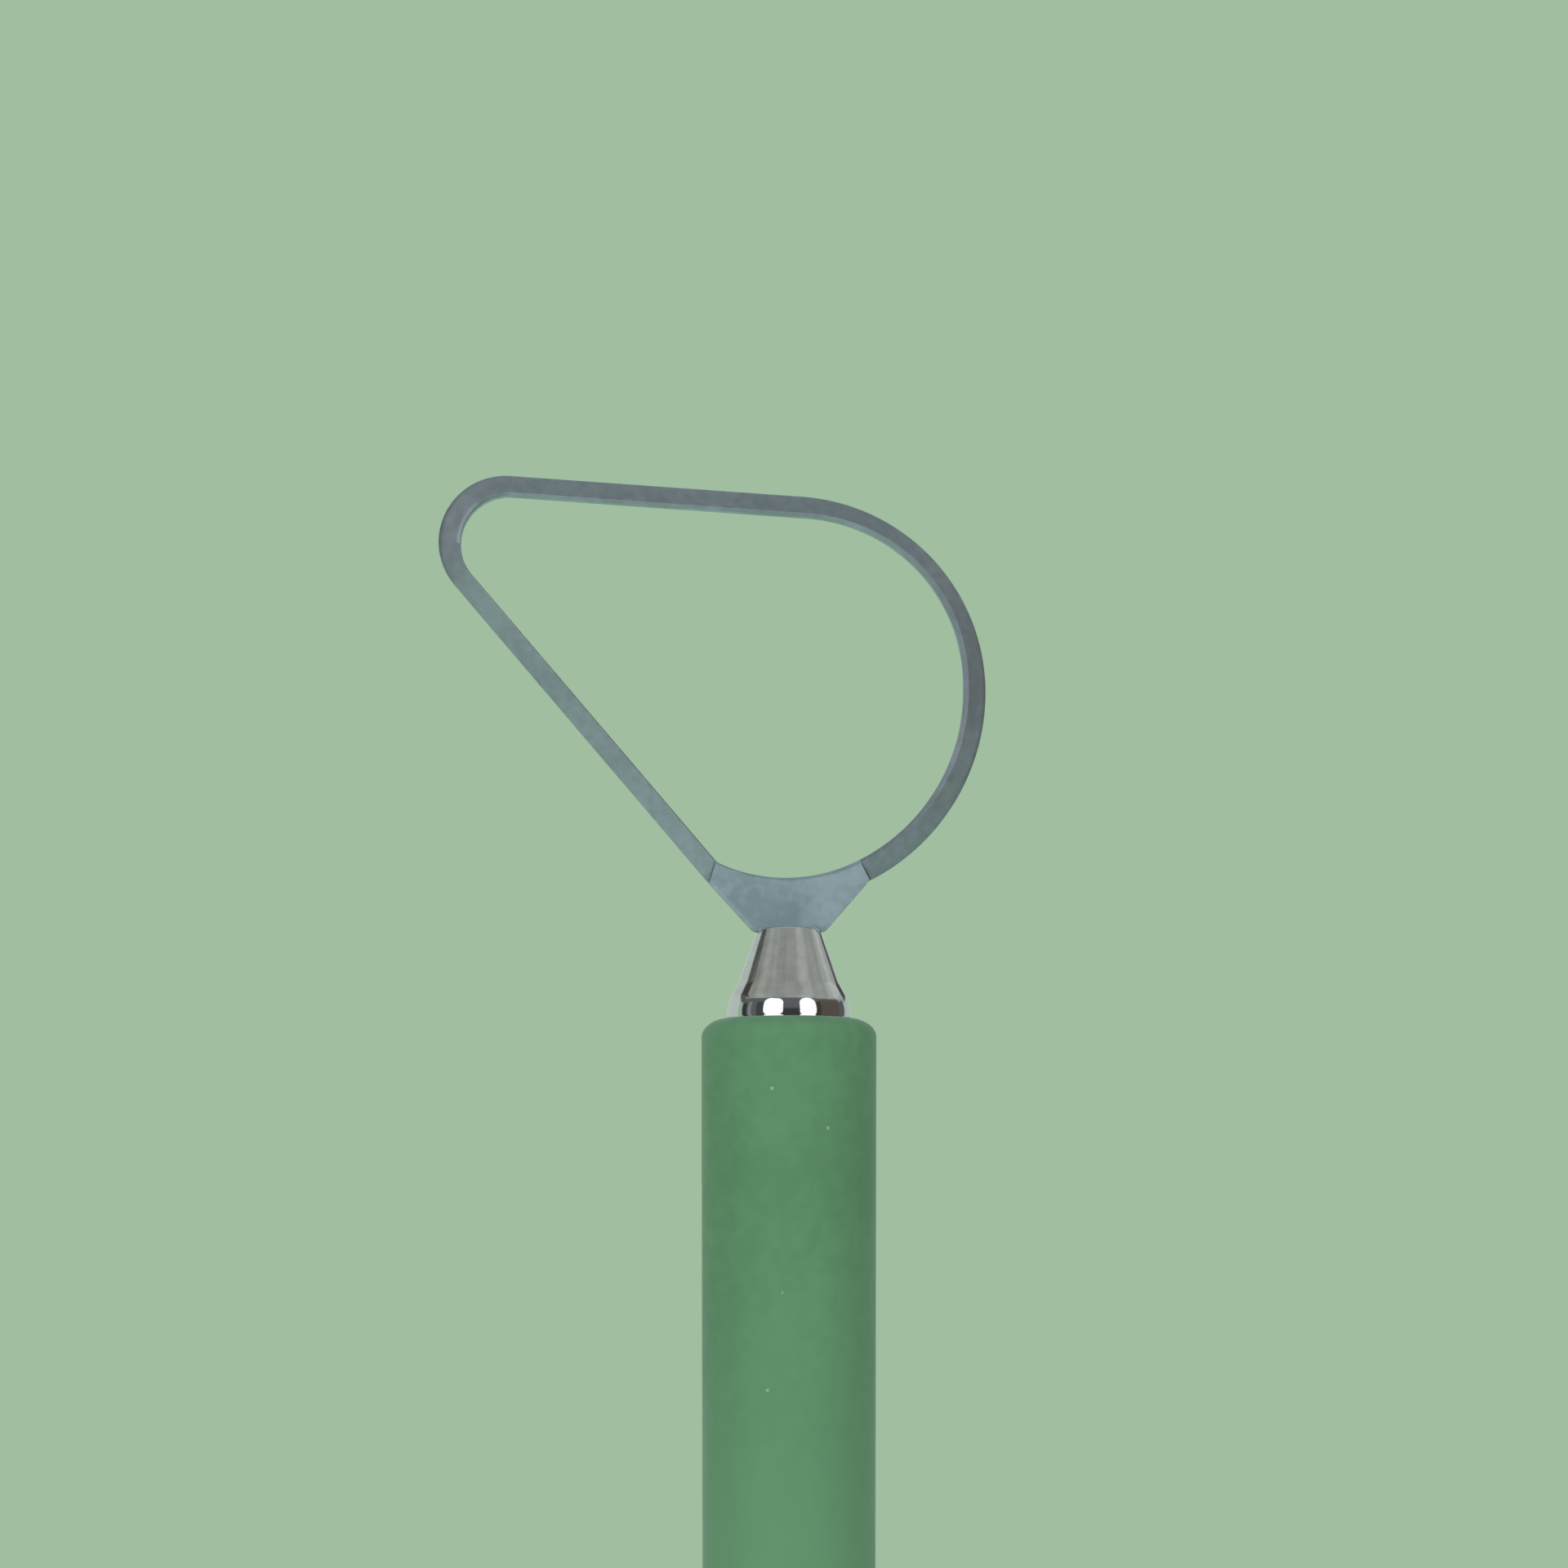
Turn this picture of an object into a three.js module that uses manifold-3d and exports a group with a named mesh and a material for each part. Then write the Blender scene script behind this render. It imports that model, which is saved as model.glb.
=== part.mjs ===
// Pottery trimming tool: a ground steel loop on a soft-grip handle.
// Millimetres. +Z runs along the handle from the butt to the loop, and the origin is the centre of
// the flat butt face. The loop lies in the XZ plane, and its ground front looks along -Y.
import * as THREE from 'three';
import { mergeVertices } from 'three/addons/utils/BufferGeometryUtils.js';
import Module from 'manifold-3d';

const wasm = await Module();
wasm.setup();

// Handle core and the fits on it
const CORE_DIAMETER = 8.3;
const CORE_WALL = 1.15;
const FIT_CLEARANCE = 0.05; // radial or side play of every piece that fits in another
const CORE_RECESS = 1.0; // the sleeve stands this far past the core and hugs the nose

// Silicone sleeve
const SLEEVE_LENGTH = 125;
const SLEEVE_WALL = 1.85; // under the top shoulder
const SLEEVE_BUTT_WALL = 1.45; // the sleeve narrows gently towards the butt
const SLEEVE_SHOULDER = 1.3; // height of the domed top end
const SLEEVE_BUTT_ROUNDING = 0.4;

// Butt cap
const CAP_HEIGHT = 5.0;
const CAP_STEP = 0.1; // the cap is this much smaller in radius than the sleeve's butt end
const CAP_EDGE_RADIUS = 0.9; // rounding between the cap's side and its flat butt face
const CAP_RIM_CHAMFER = 0.15;
const CAP_SPIGOT_LENGTH = 12;
const SPIGOT_CHAMFER = 0.4;

// Nose cone
const NOSE_HEIGHT = 6.28; // tip above the sleeve's top
const NOSE_TIP_DIAMETER = 4.5;
const NOSE_TIP_ROUNDING = 0.3;
const NOSE_FOOT_INSET = 0.68; // the cone's foot lies this far inside the collar's widest ring
const NOSE_FOOT_HEIGHT = 2.05; // above the sleeve's top; below it the nose flares to the collar
const COLLAR_DIAMETER = 8.56; // polished collar on the sleeve's end, at its fullest
const COLLAR_HEIGHT = 1.35; // above the sleeve's top
const COLLAR_FULLEST = 0.4; // height of its fullest place above the sleeve's top
const COLLAR_CROWN_RADIUS = 2.7; // its side bulges like a barrel
const COLLAR_ROUNDING = 0.3; // edge between its side and the flare
const NOSE_SLOT_DEPTH = 0.25; // the tip's cheeks stand this far up the root plate

// Blade plate and tang
const PLATE_THICKNESS = 1.2;
const TANG_WIDTH = 3.0;
const TANG_LENGTH = 19;
const PIN_DIAMETER = 1.2;
const PIN_TO_TANG_END = 4.5; // from the pin's axis
const PIN_TO_SPIGOT_END = 7.5;
const PIN_RECESS = 0.1; // the pin ends lie this far inside the spigot

// Root plate, with heights above its foot and distances from the handle's axis
const ROOT_FOOT_WIDTH = 5.0;
const ROOT_FOOT_ROUNDING = 0.45;
const ROOT_LEFT = 5.7; // its upper corners, where the loop's bevel begins
const ROOT_LEFT_HEIGHT = 3.45;
const ROOT_RIGHT = 5.58; // this corner's height follows from the belly

// Loop's outer outline
const BELLY_REACH = 13.69; // the belly's widest point, right of the axis
const BELLY_HEIGHT = 16.75; // the widest point above the plate's foot
const BELLY_UPPER_RADIUS = 13.75;
const BELLY_LOWER_RADIUS = 14.79;
const CORNER_REACH = 19.8; // centre of the round upper corner, left of the axis
const CORNER_HEIGHT = 27.29;
const CORNER_RADIUS = 4.65;

// Loop's band, from the outer outline to the opening
const TOP_BAND = 1.49;
const BELLY_BAND = 1.57;
const DIAGONAL_BAND = 1.37;
const CORNER_BAND = 1.3;
const OPENING_BELLY_STRAIGHT = 0.52; // short upright stretch at the opening's widest point
const OPENING_LEFT_HEIGHT = 4.8; // where the root's arc meets the diagonal, above the plate's foot
const OPENING_ROOT_START = 66; // degrees below level, where the belly's arc turns into the root's arc
const OPENING_ROOT_CORNER = 0.5;

// Ground faces of the loop
const BEVEL_WIDTH = 1.25;
const EDGE_LAND = 0.4; // plate left standing at the outer edge
const RELIEF_DEPTH = 0.35; // chamfer round the opening's front edge
const RELIEF_WIDTH = 0.2;
const RELIEF_SHIFT = 0.16; // ground off centre: wider at the belly, narrower at the round corner

// Facets
const ROUND_STEPS = 64;
const PIN_STEPS = 24;
const BELLY_STEPS = 18;
const CORNER_STEPS = 18;
const SMALL_STEPS = 5;
const OVERRUN = 1.0; // how far a cutter reaches past what it cuts

// Finishes
const FINISHES = {
  blade: { color: 0x798c90, roughness: 0.55, metalness: 0.8 },
  chrome: { color: 0xc9ccc9, roughness: 0.15, metalness: 1.0 },
  steel: { color: 0x8f9294, roughness: 0.4, metalness: 1.0 },
  aluminium: { color: 0xb4b8ba, roughness: 0.45, metalness: 1.0 },
  silicone: { color: 0x588562, roughness: 0.7, metalness: 0.0 },
};

// Heights and radii that follow from the driving dimensions
const coreRadius = CORE_DIAMETER / 2;
const boreRadius = coreRadius - CORE_WALL;
const spigotRadius = boreRadius - FIT_CLEARANCE;
const sleeveBore = coreRadius + FIT_CLEARANCE;
const sleeveButtRadius = sleeveBore + SLEEVE_BUTT_WALL;
const capRadius = sleeveButtRadius - CAP_STEP;
const sleeveTop = CAP_HEIGHT + SLEEVE_LENGTH;
const coreTop = sleeveTop - CORE_RECESS;
const noseTip = sleeveTop + NOSE_HEIGHT;
const plateFoot = noseTip - NOSE_SLOT_DEPTH;
const halfPlate = PLATE_THICKNESS / 2;
const tangEnd = plateFoot - TANG_LENGTH;
const pinHeight = tangEnd + PIN_TO_TANG_END;
const spigotEnd = pinHeight - PIN_TO_SPIGOT_END;
const halfTurn = Math.PI;

// A point at a distance and an angle from a centre
function polar(centre, radius, angle) {
  return new THREE.Vector2(centre.x + radius * Math.cos(angle), centre.y + radius * Math.sin(angle));
}

// Points along an arc, both ends included
function arc(centre, radius, from, to, steps) {
  const points = [];
  for (let i = 0; i <= steps; i += 1) {
    points.push(polar(centre, radius, from + ((to - from) * i) / steps));
  }
  return points;
}

// Points along a quarter ellipse of a turned profile, from its side up to its top
function quarter(centre, across, up, steps) {
  return arc(new THREE.Vector2(0, 0), 1, 0, halfTurn / 2, steps).map(
    (p) => new THREE.Vector2(centre.x + across * p.x, centre.y + up * p.y),
  );
}

// Direction of the outward normal of a line that touches two circles on the same side
function tangentAngle(a, radiusA, b, radiusB, side) {
  const span = b.clone().sub(a);
  const angle = span.angle() + side * Math.acos((radiusA - radiusB) / span.length());
  return THREE.MathUtils.euclideanModulo(angle, 2 * halfTurn);
}

// A straight edge: its outward normal, and how far out it lies along that normal
function edge(angle, throughCentre, radius) {
  const normal = polar(new THREE.Vector2(0, 0), 1, angle);
  return { normal, reach: normal.dot(throughCentre) + radius };
}

// The point of an edge at a height
function pointAtHeight(line, height) {
  return new THREE.Vector2((line.reach - line.normal.y * height) / line.normal.x, height);
}

// Radius of the arc that starts at a point, has its centre towards another, and ends at a third
function radiusThrough(start, towards, end) {
  const inward = towards.clone().sub(start).normalize();
  const span = end.clone().sub(start);
  return span.lengthSq() / (2 * span.dot(inward));
}

// Centre of a round of the given radius that touches two edges from inside
function roundBetween(first, second, radius) {
  const a = first.reach - radius;
  const b = second.reach - radius;
  const cross = first.normal.cross(second.normal);
  const x = (a * second.normal.y - b * first.normal.y) / cross;
  const y = (b * first.normal.x - a * second.normal.x) / cross;
  return new THREE.Vector2(x, y);
}

// Where an edge, going down, leaves a circle
function edgeLeavesCircle(line, inset, centre, radius) {
  const distance = line.reach - inset - line.normal.dot(centre);
  const along = new THREE.Vector2(-line.normal.y, line.normal.x);
  const foot = centre.clone().addScaledVector(line.normal, distance);
  return foot.addScaledVector(along, Math.sqrt(radius * radius - distance * distance));
}

// The corner of a polygon rounded to a radius, as points
function roundedCorner(before, corner, after, radius) {
  const back = before.clone().sub(corner).normalize();
  const ahead = after.clone().sub(corner).normalize();
  const half = Math.acos(back.dot(ahead)) / 2;
  const middle = back.clone().add(ahead).normalize();
  const centre = corner.clone().addScaledVector(middle, radius / Math.sin(half));
  const cut = radius / Math.tan(half);
  const start = corner.clone().addScaledVector(back, cut).sub(centre).angle();
  const end = corner.clone().addScaledVector(ahead, cut).sub(centre).angle();
  const turn = Math.atan2(Math.sin(end - start), Math.cos(end - start));
  return arc(centre, radius, start, start + turn, SMALL_STEPS);
}

// The loop's key points and edges, in the plane of the plate
const widest = new THREE.Vector2(BELLY_REACH, plateFoot + BELLY_HEIGHT);
const upperCentre = new THREE.Vector2(widest.x - BELLY_UPPER_RADIUS, widest.y);
const lowerCentre = new THREE.Vector2(widest.x - BELLY_LOWER_RADIUS, widest.y);
const cornerCentre = new THREE.Vector2(-CORNER_REACH, plateFoot + CORNER_HEIGHT);
const rootLeft = new THREE.Vector2(-ROOT_LEFT, plateFoot + ROOT_LEFT_HEIGHT);
const topAngle = tangentAngle(cornerCentre, CORNER_RADIUS, upperCentre, BELLY_UPPER_RADIUS, 1);
const diagonalAngle = tangentAngle(cornerCentre, CORNER_RADIUS, rootLeft, 0, -1);
const rootRightAngle = -Math.acos((ROOT_RIGHT - lowerCentre.x) / BELLY_LOWER_RADIUS);
const rootRight = polar(lowerCentre, BELLY_LOWER_RADIUS, rootRightAngle);

// The opening's arc over the root plate goes on from the belly's arc and ends at the diagonal band
const rootTurnAngle = THREE.MathUtils.degToRad(-OPENING_ROOT_START);
const rootTurn = polar(lowerCentre, BELLY_LOWER_RADIUS - BELLY_BAND, rootTurnAngle);
const openingLeft = pointAtHeight(
  edge(diagonalAngle, cornerCentre, CORNER_RADIUS - DIAGONAL_BAND),
  plateFoot + OPENING_LEFT_HEIGHT,
);
const openingRootRadius = radiusThrough(rootTurn, lowerCentre, openingLeft);

// The loop's outer outline, drawn in by an inset, and closed inside the root plate
function outerOutline(inset) {
  const startsInPlate = rootRightAngle - OVERRUN / BELLY_LOWER_RADIUS;
  const inPlate = new THREE.Vector2(0, (plateFoot + rootLeft.y) / 2);
  const left = rootLeft.clone().addScaledVector(edge(diagonalAngle, cornerCentre, 0).normal, -inset);
  return [
    ...arc(lowerCentre, BELLY_LOWER_RADIUS - inset, startsInPlate, 0, BELLY_STEPS),
    ...arc(upperCentre, BELLY_UPPER_RADIUS - inset, 0, topAngle, BELLY_STEPS).slice(1),
    ...arc(cornerCentre, CORNER_RADIUS - inset, topAngle, diagonalAngle, CORNER_STEPS),
    left,
    inPlate,
  ];
}

// The opening's shape, widened all round
function opening(widen) {
  const top = edge(topAngle, cornerCentre, CORNER_RADIUS - TOP_BAND + widen);
  const diagonal = edge(diagonalAngle, cornerCentre, CORNER_RADIUS - DIAGONAL_BAND + widen);
  const cornerRadius = CORNER_RADIUS - CORNER_BAND + widen;
  const corner = roundBetween(top, diagonal, cornerRadius);
  const right = new THREE.Vector2(
    widest.x - BELLY_BAND + widen,
    widest.y + OPENING_BELLY_STRAIGHT,
  );
  const upperRadius = (top.reach - top.normal.dot(right)) / (1 - top.normal.x);
  const upper = new THREE.Vector2(right.x - upperRadius, right.y);
  const lowerRadius = BELLY_LOWER_RADIUS - BELLY_BAND + widen;
  const rootRadius = openingRootRadius + widen;
  const root = polar(lowerCentre, lowerRadius - rootRadius, rootTurnAngle);
  const rootCorner = edgeLeavesCircle(
    diagonal, OPENING_ROOT_CORNER, root, rootRadius - OPENING_ROOT_CORNER,
  );
  const rootCornerAngle = rootCorner.clone().sub(root).angle();
  const outline = [
    ...arc(lowerCentre, lowerRadius, rootTurnAngle, 0, BELLY_STEPS),
    ...arc(upper, upperRadius, 0, topAngle, BELLY_STEPS),
    ...arc(corner, cornerRadius, topAngle, diagonalAngle, CORNER_STEPS),
    ...arc(rootCorner, OPENING_ROOT_CORNER, diagonalAngle, rootCornerAngle, SMALL_STEPS),
    ...arc(root, rootRadius, rootCornerAngle, rootTurnAngle + 2 * halfTurn, SMALL_STEPS * 2).slice(1, -1),
  ];
  return { outline, rootCorner, lowerRadius };
}

// The root plate and the tang in one outline
function rootOutline() {
  const hole = opening(0);
  const footLeft = new THREE.Vector2(-ROOT_FOOT_WIDTH / 2, plateFoot);
  const footRight = new THREE.Vector2(ROOT_FOOT_WIDTH / 2, plateFoot);
  return [
    ...roundedCorner(rootLeft, footLeft, footRight, ROOT_FOOT_ROUNDING),
    new THREE.Vector2(-TANG_WIDTH / 2, plateFoot),
    new THREE.Vector2(-TANG_WIDTH / 2, tangEnd),
    new THREE.Vector2(TANG_WIDTH / 2, tangEnd),
    new THREE.Vector2(TANG_WIDTH / 2, plateFoot),
    ...roundedCorner(footLeft, footRight, rootRight, ROOT_FOOT_ROUNDING),
    rootRight,
    polar(lowerCentre, hole.lowerRadius - OPENING_ROOT_CORNER, rootRightAngle),
    hole.rootCorner,
    rootLeft,
  ];
}

// A closed solid through outlines that have as many points each, at places along Y from back to front
function loft(sections) {
  const count = sections[0].outline.length;
  const positions = [];
  const faces = [];
  for (const { outline, y } of sections) {
    for (const p of outline) {
      positions.push(p.x, y, p.y);
    }
  }
  for (let s = 0; s + 1 < sections.length; s += 1) {
    for (let i = 0; i < count; i += 1) {
      const j = (i + 1) % count;
      const back = s * count;
      const front = back + count;
      faces.push(back + i, front + j, front + i, back + i, back + j, front + j);
    }
  }
  const last = (sections.length - 1) * count;
  for (const [a, b, c] of THREE.ShapeUtils.triangulateShape(sections[0].outline, [])) {
    faces.push(a, c, b);
  }
  for (const [a, b, c] of THREE.ShapeUtils.triangulateShape(sections.at(-1).outline, [])) {
    faces.push(last + a, last + b, last + c);
  }
  const geometry = new THREE.BufferGeometry();
  geometry.setAttribute('position', new THREE.Float32BufferAttribute(positions, 3));
  geometry.setIndex(faces);
  return geometry;
}

// A solid turned about the handle's axis from a profile of radius and height
function turned(profile) {
  return new THREE.LatheGeometry(profile, ROUND_STEPS).rotateX(halfTurn / 2);
}

// A rod along Y, centred on the handle's axis
function crossRod(diameter, length, height) {
  const rod = new THREE.CylinderGeometry(diameter / 2, diameter / 2, length, PIN_STEPS);
  return rod.translate(0, 0, height);
}

// A box given by its sizes, its middle on the axis, and its lowest and highest points
function uprightBox(width, depth, bottom, top) {
  return new THREE.BoxGeometry(width, depth, top - bottom).translate(0, 0, (bottom + top) / 2);
}

// A geometry as a manifold solid, with shared corners merged and empty faces left out
function solid(geometry) {
  const bare = geometry.clone();
  bare.deleteAttribute('normal');
  bare.deleteAttribute('uv');
  const merged = mergeVertices(bare);
  const triangles = [];
  for (let i = 0; i < merged.index.count; i += 3) {
    const [a, b, c] = [merged.index.getX(i), merged.index.getX(i + 1), merged.index.getX(i + 2)];
    if (a !== b && b !== c && c !== a) {
      triangles.push(a, b, c);
    }
  }
  return new wasm.Manifold(new wasm.Mesh({
    numProp: 3,
    vertProperties: new Float32Array(merged.attributes.position.array),
    triVerts: new Uint32Array(triangles),
  }));
}

// A manifold solid as a geometry with its own faces
function surface(manifold) {
  const mesh = manifold.getMesh();
  const geometry = new THREE.BufferGeometry();
  geometry.setAttribute('position', new THREE.BufferAttribute(mesh.vertProperties, 3));
  geometry.setIndex(new THREE.BufferAttribute(mesh.triVerts, 1));
  geometry.computeVertexNormals();
  return geometry;
}

// The blade: bevelled loop and root plate with its tang, less the opening, its chamfer and the pin hole
function bladeGeometry() {
  const bevelled = solid(loft([
    { outline: outerOutline(0), y: halfPlate },
    { outline: outerOutline(0), y: halfPlate - EDGE_LAND },
    { outline: outerOutline(BEVEL_WIDTH), y: -halfPlate },
  ]));
  const root = solid(loft([
    { outline: rootOutline(), y: halfPlate },
    { outline: rootOutline(), y: -halfPlate },
  ]));
  const through = solid(loft([
    { outline: opening(0).outline, y: halfPlate + OVERRUN },
    { outline: opening(0).outline, y: -halfPlate - OVERRUN },
  ]));
  const spread = (RELIEF_DEPTH + OVERRUN) / RELIEF_DEPTH;
  const shift = new THREE.Vector2(RELIEF_SHIFT * spread, 0);
  const relief = solid(loft([
    { outline: opening(0).outline, y: RELIEF_DEPTH - halfPlate },
    {
      outline: opening(RELIEF_WIDTH * spread).outline.map((p) => p.clone().add(shift)),
      y: -halfPlate - OVERRUN,
    },
  ]));
  const pinHole = solid(crossRod(
    PIN_DIAMETER + 2 * FIT_CLEARANCE, PLATE_THICKNESS + 2 * OVERRUN, pinHeight,
  ));
  return surface(bevelled.add(root).subtract(through).subtract(relief).subtract(pinHole));
}

// Outline of the nose's collar, from its underside over its barrel side to where the flare begins
function collarOutline(coneFoot) {
  const fullest = sleeveTop + COLLAR_FULLEST;
  const centre = new THREE.Vector2(COLLAR_DIAMETER / 2 - COLLAR_CROWN_RADIUS, fullest);
  const under = -Math.asin((COLLAR_FULLEST - FIT_CLEARANCE) / COLLAR_CROWN_RADIUS);
  const crown = Math.asin((COLLAR_HEIGHT - COLLAR_FULLEST) / COLLAR_CROWN_RADIUS);
  const edgeCentre = polar(centre, COLLAR_CROWN_RADIUS - COLLAR_ROUNDING, crown);
  const flare = tangentAngle(edgeCentre, COLLAR_ROUNDING, coneFoot, 0, -1);
  return [
    ...arc(centre, COLLAR_CROWN_RADIUS, under, crown, SMALL_STEPS),
    ...arc(edgeCentre, COLLAR_ROUNDING, crown, flare, SMALL_STEPS).slice(1),
  ];
}

// The nose: cone, flare, collar and spigot, with the blade's slot, the tang's hole and the pin hole
function noseGeometry() {
  const coneFoot = new THREE.Vector2(
    COLLAR_DIAMETER / 2 - NOSE_FOOT_INSET,
    sleeveTop + NOSE_FOOT_HEIGHT,
  );
  const tipCentre = new THREE.Vector2(
    NOSE_TIP_DIAMETER / 2 - NOSE_TIP_ROUNDING,
    noseTip - NOSE_TIP_ROUNDING,
  );
  const lean = tangentAngle(coneFoot, 0, tipCentre, NOSE_TIP_ROUNDING, -1);
  const body = solid(turned([
    new THREE.Vector2(0, spigotEnd),
    new THREE.Vector2(spigotRadius - SPIGOT_CHAMFER, spigotEnd),
    new THREE.Vector2(spigotRadius, spigotEnd + SPIGOT_CHAMFER),
    new THREE.Vector2(spigotRadius, coreTop),
    new THREE.Vector2(coreRadius, coreTop),
    new THREE.Vector2(coreRadius, sleeveTop + FIT_CLEARANCE),
    ...collarOutline(coneFoot),
    coneFoot,
    ...arc(tipCentre, NOSE_TIP_ROUNDING, lean, halfTurn / 2, SMALL_STEPS),
    new THREE.Vector2(0, noseTip),
  ]));
  const slotWidth = PLATE_THICKNESS + 2 * FIT_CLEARANCE;
  const slot = solid(uprightBox(
    COLLAR_DIAMETER, slotWidth, plateFoot - FIT_CLEARANCE, noseTip + OVERRUN,
  ));
  const tangHole = solid(uprightBox(
    TANG_WIDTH + 2 * FIT_CLEARANCE, slotWidth, spigotEnd - OVERRUN, noseTip,
  ));
  const pinHole = solid(crossRod(PIN_DIAMETER + 2 * FIT_CLEARANCE, CORE_DIAMETER, pinHeight));
  return surface(body.subtract(slot).subtract(tangHole).subtract(pinHole));
}

// The pin, just shorter than the chord that its hole makes through the spigot
function pinGeometry() {
  const chord = Math.sqrt(spigotRadius ** 2 - (PIN_DIAMETER / 2) ** 2);
  return crossRod(PIN_DIAMETER, 2 * (chord - PIN_RECESS), pinHeight);
}

// The core: a plain tube between the cap's shoulder and the nose
function coreGeometry() {
  return turned([
    new THREE.Vector2(boreRadius, CAP_HEIGHT),
    new THREE.Vector2(coreRadius, CAP_HEIGHT),
    new THREE.Vector2(coreRadius, coreTop),
    new THREE.Vector2(boreRadius, coreTop),
    new THREE.Vector2(boreRadius, CAP_HEIGHT),
  ]);
}

// The sleeve: straight bore, gently narrowing outside, domed top and softly rounded butt end
function sleeveGeometry() {
  const rounding = SLEEVE_BUTT_ROUNDING;
  const buttCentre = new THREE.Vector2(sleeveButtRadius - rounding, CAP_HEIGHT + rounding);
  const domeCentre = new THREE.Vector2(sleeveBore, sleeveTop - SLEEVE_SHOULDER);
  return turned([
    new THREE.Vector2(sleeveBore, CAP_HEIGHT),
    ...arc(buttCentre, rounding, -halfTurn / 2, 0, SMALL_STEPS),
    ...quarter(domeCentre, SLEEVE_WALL, SLEEVE_SHOULDER, 2 * SMALL_STEPS),
    new THREE.Vector2(sleeveBore, CAP_HEIGHT),
  ]);
}

// The cap: flat butt face, rounded edge, shoulder for the sleeve and core, and spigot
function capGeometry() {
  const edgeCentre = new THREE.Vector2(capRadius - CAP_EDGE_RADIUS, CAP_EDGE_RADIUS);
  const capSpigotEnd = CAP_HEIGHT + CAP_SPIGOT_LENGTH;
  return turned([
    new THREE.Vector2(0, 0),
    ...arc(edgeCentre, CAP_EDGE_RADIUS, -halfTurn / 2, 0, SMALL_STEPS),
    new THREE.Vector2(capRadius, CAP_HEIGHT - CAP_RIM_CHAMFER),
    new THREE.Vector2(capRadius - CAP_RIM_CHAMFER, CAP_HEIGHT),
    new THREE.Vector2(spigotRadius, CAP_HEIGHT),
    new THREE.Vector2(spigotRadius, capSpigotEnd - SPIGOT_CHAMFER),
    new THREE.Vector2(spigotRadius - SPIGOT_CHAMFER, capSpigotEnd),
    new THREE.Vector2(0, capSpigotEnd),
  ]);
}

// Assembly
const tool = new THREE.Group();

function addPiece(name, geometry, finish) {
  const piece = new THREE.Mesh(geometry, new THREE.MeshStandardMaterial(finish));
  piece.name = name;
  tool.add(piece);
}

addPiece('trimming_blade', bladeGeometry(), FINISHES.blade);
addPiece('nose_cone', noseGeometry(), FINISHES.chrome);
addPiece('tang_pin', pinGeometry(), FINISHES.steel);
addPiece('handle_core', coreGeometry(), FINISHES.aluminium);
addPiece('grip_sleeve', sleeveGeometry(), FINISHES.silicone);
addPiece('end_cap', capGeometry(), FINISHES.chrome);

export default tool;
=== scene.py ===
"""Looks of a pottery trimming tool: ground steel loop, chromed nose, silicone sleeve and butt cap.

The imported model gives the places. Each class builds the pieces of one sub-assembly as plain meshes,
in metres and in the model's own frame, and dresses them. The studio and the camera come last.
"""

import logging
import math
from dataclasses import dataclass
from enum import Enum
from itertools import accumulate

import bmesh
import bpy
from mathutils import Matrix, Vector


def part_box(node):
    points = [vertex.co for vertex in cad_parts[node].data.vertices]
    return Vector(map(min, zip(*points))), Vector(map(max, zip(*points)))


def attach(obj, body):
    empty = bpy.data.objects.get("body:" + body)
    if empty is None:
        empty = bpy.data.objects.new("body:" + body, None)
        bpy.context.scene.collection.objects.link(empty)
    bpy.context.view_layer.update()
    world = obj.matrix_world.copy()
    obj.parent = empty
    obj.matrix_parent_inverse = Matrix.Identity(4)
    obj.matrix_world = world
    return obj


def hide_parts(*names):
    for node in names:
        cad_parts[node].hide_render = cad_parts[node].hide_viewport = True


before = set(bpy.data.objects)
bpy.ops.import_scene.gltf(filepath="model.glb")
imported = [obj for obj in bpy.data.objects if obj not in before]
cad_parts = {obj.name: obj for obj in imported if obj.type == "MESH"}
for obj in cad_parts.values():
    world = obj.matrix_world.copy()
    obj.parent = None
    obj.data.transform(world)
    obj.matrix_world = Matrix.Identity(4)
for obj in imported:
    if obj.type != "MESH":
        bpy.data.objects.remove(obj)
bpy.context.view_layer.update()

MM = 0.001
HALF_TURN = math.pi
QUARTER_TURN = math.pi / 2
BODY = "root"

Tree = bpy.types.NodeTree
Socket = bpy.types.NodeSocket
Material = bpy.types.Material
Mesh = bpy.types.Mesh
Piece = bpy.types.Object

log = logging.getLogger("trimming_tool")


# Colour and nodes


def linear(hex_colour: str) -> tuple[float, float, float, float]:
    """Turns an sRGB colour into the linear one that shaders take.

    Args:
        hex_colour: Six hex digits after a hash.

    Returns:
        Linear red, green and blue, and an alpha of 1.
    """
    channels = []
    for start in (1, 3, 5):
        value = int(hex_colour[start : start + 2], 16) / 255
        channels.append(value / 12.92 if value <= 0.04045 else ((value + 0.055) / 1.055) ** 2.4)
    return (*channels, 1.0)


def add(
    tree: Tree,
    kind: str,
    inputs: dict[str | int, object] | None = None,
    **settings: object,
) -> bpy.types.Node:
    """Adds a node with its settings, values and links.

    Args:
        tree: The tree that gets the node.
        kind: The node's type name.
        inputs: A value or another node's output socket for each named or numbered input.
        **settings: The node's own properties.

    Returns:
        The new node.
    """
    node = tree.nodes.new(kind)
    for name, value in settings.items():
        setattr(node, name, value)
    for key, value in (inputs or {}).items():
        if isinstance(value, Socket):
            tree.links.new(value, node.inputs[key])
        else:
            node.inputs[key].default_value = value
    return node


def math_of(
    tree: Tree, operation: str, first: object, second: object = 0.0, clamp: bool = False
) -> Socket:
    """Adds a sum of two values or sockets, kept between 0 and 1 where it is clamped."""
    both = {0: first, 1: second}
    return add(tree, "ShaderNodeMath", both, operation=operation, use_clamp=clamp).outputs[0]


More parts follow.
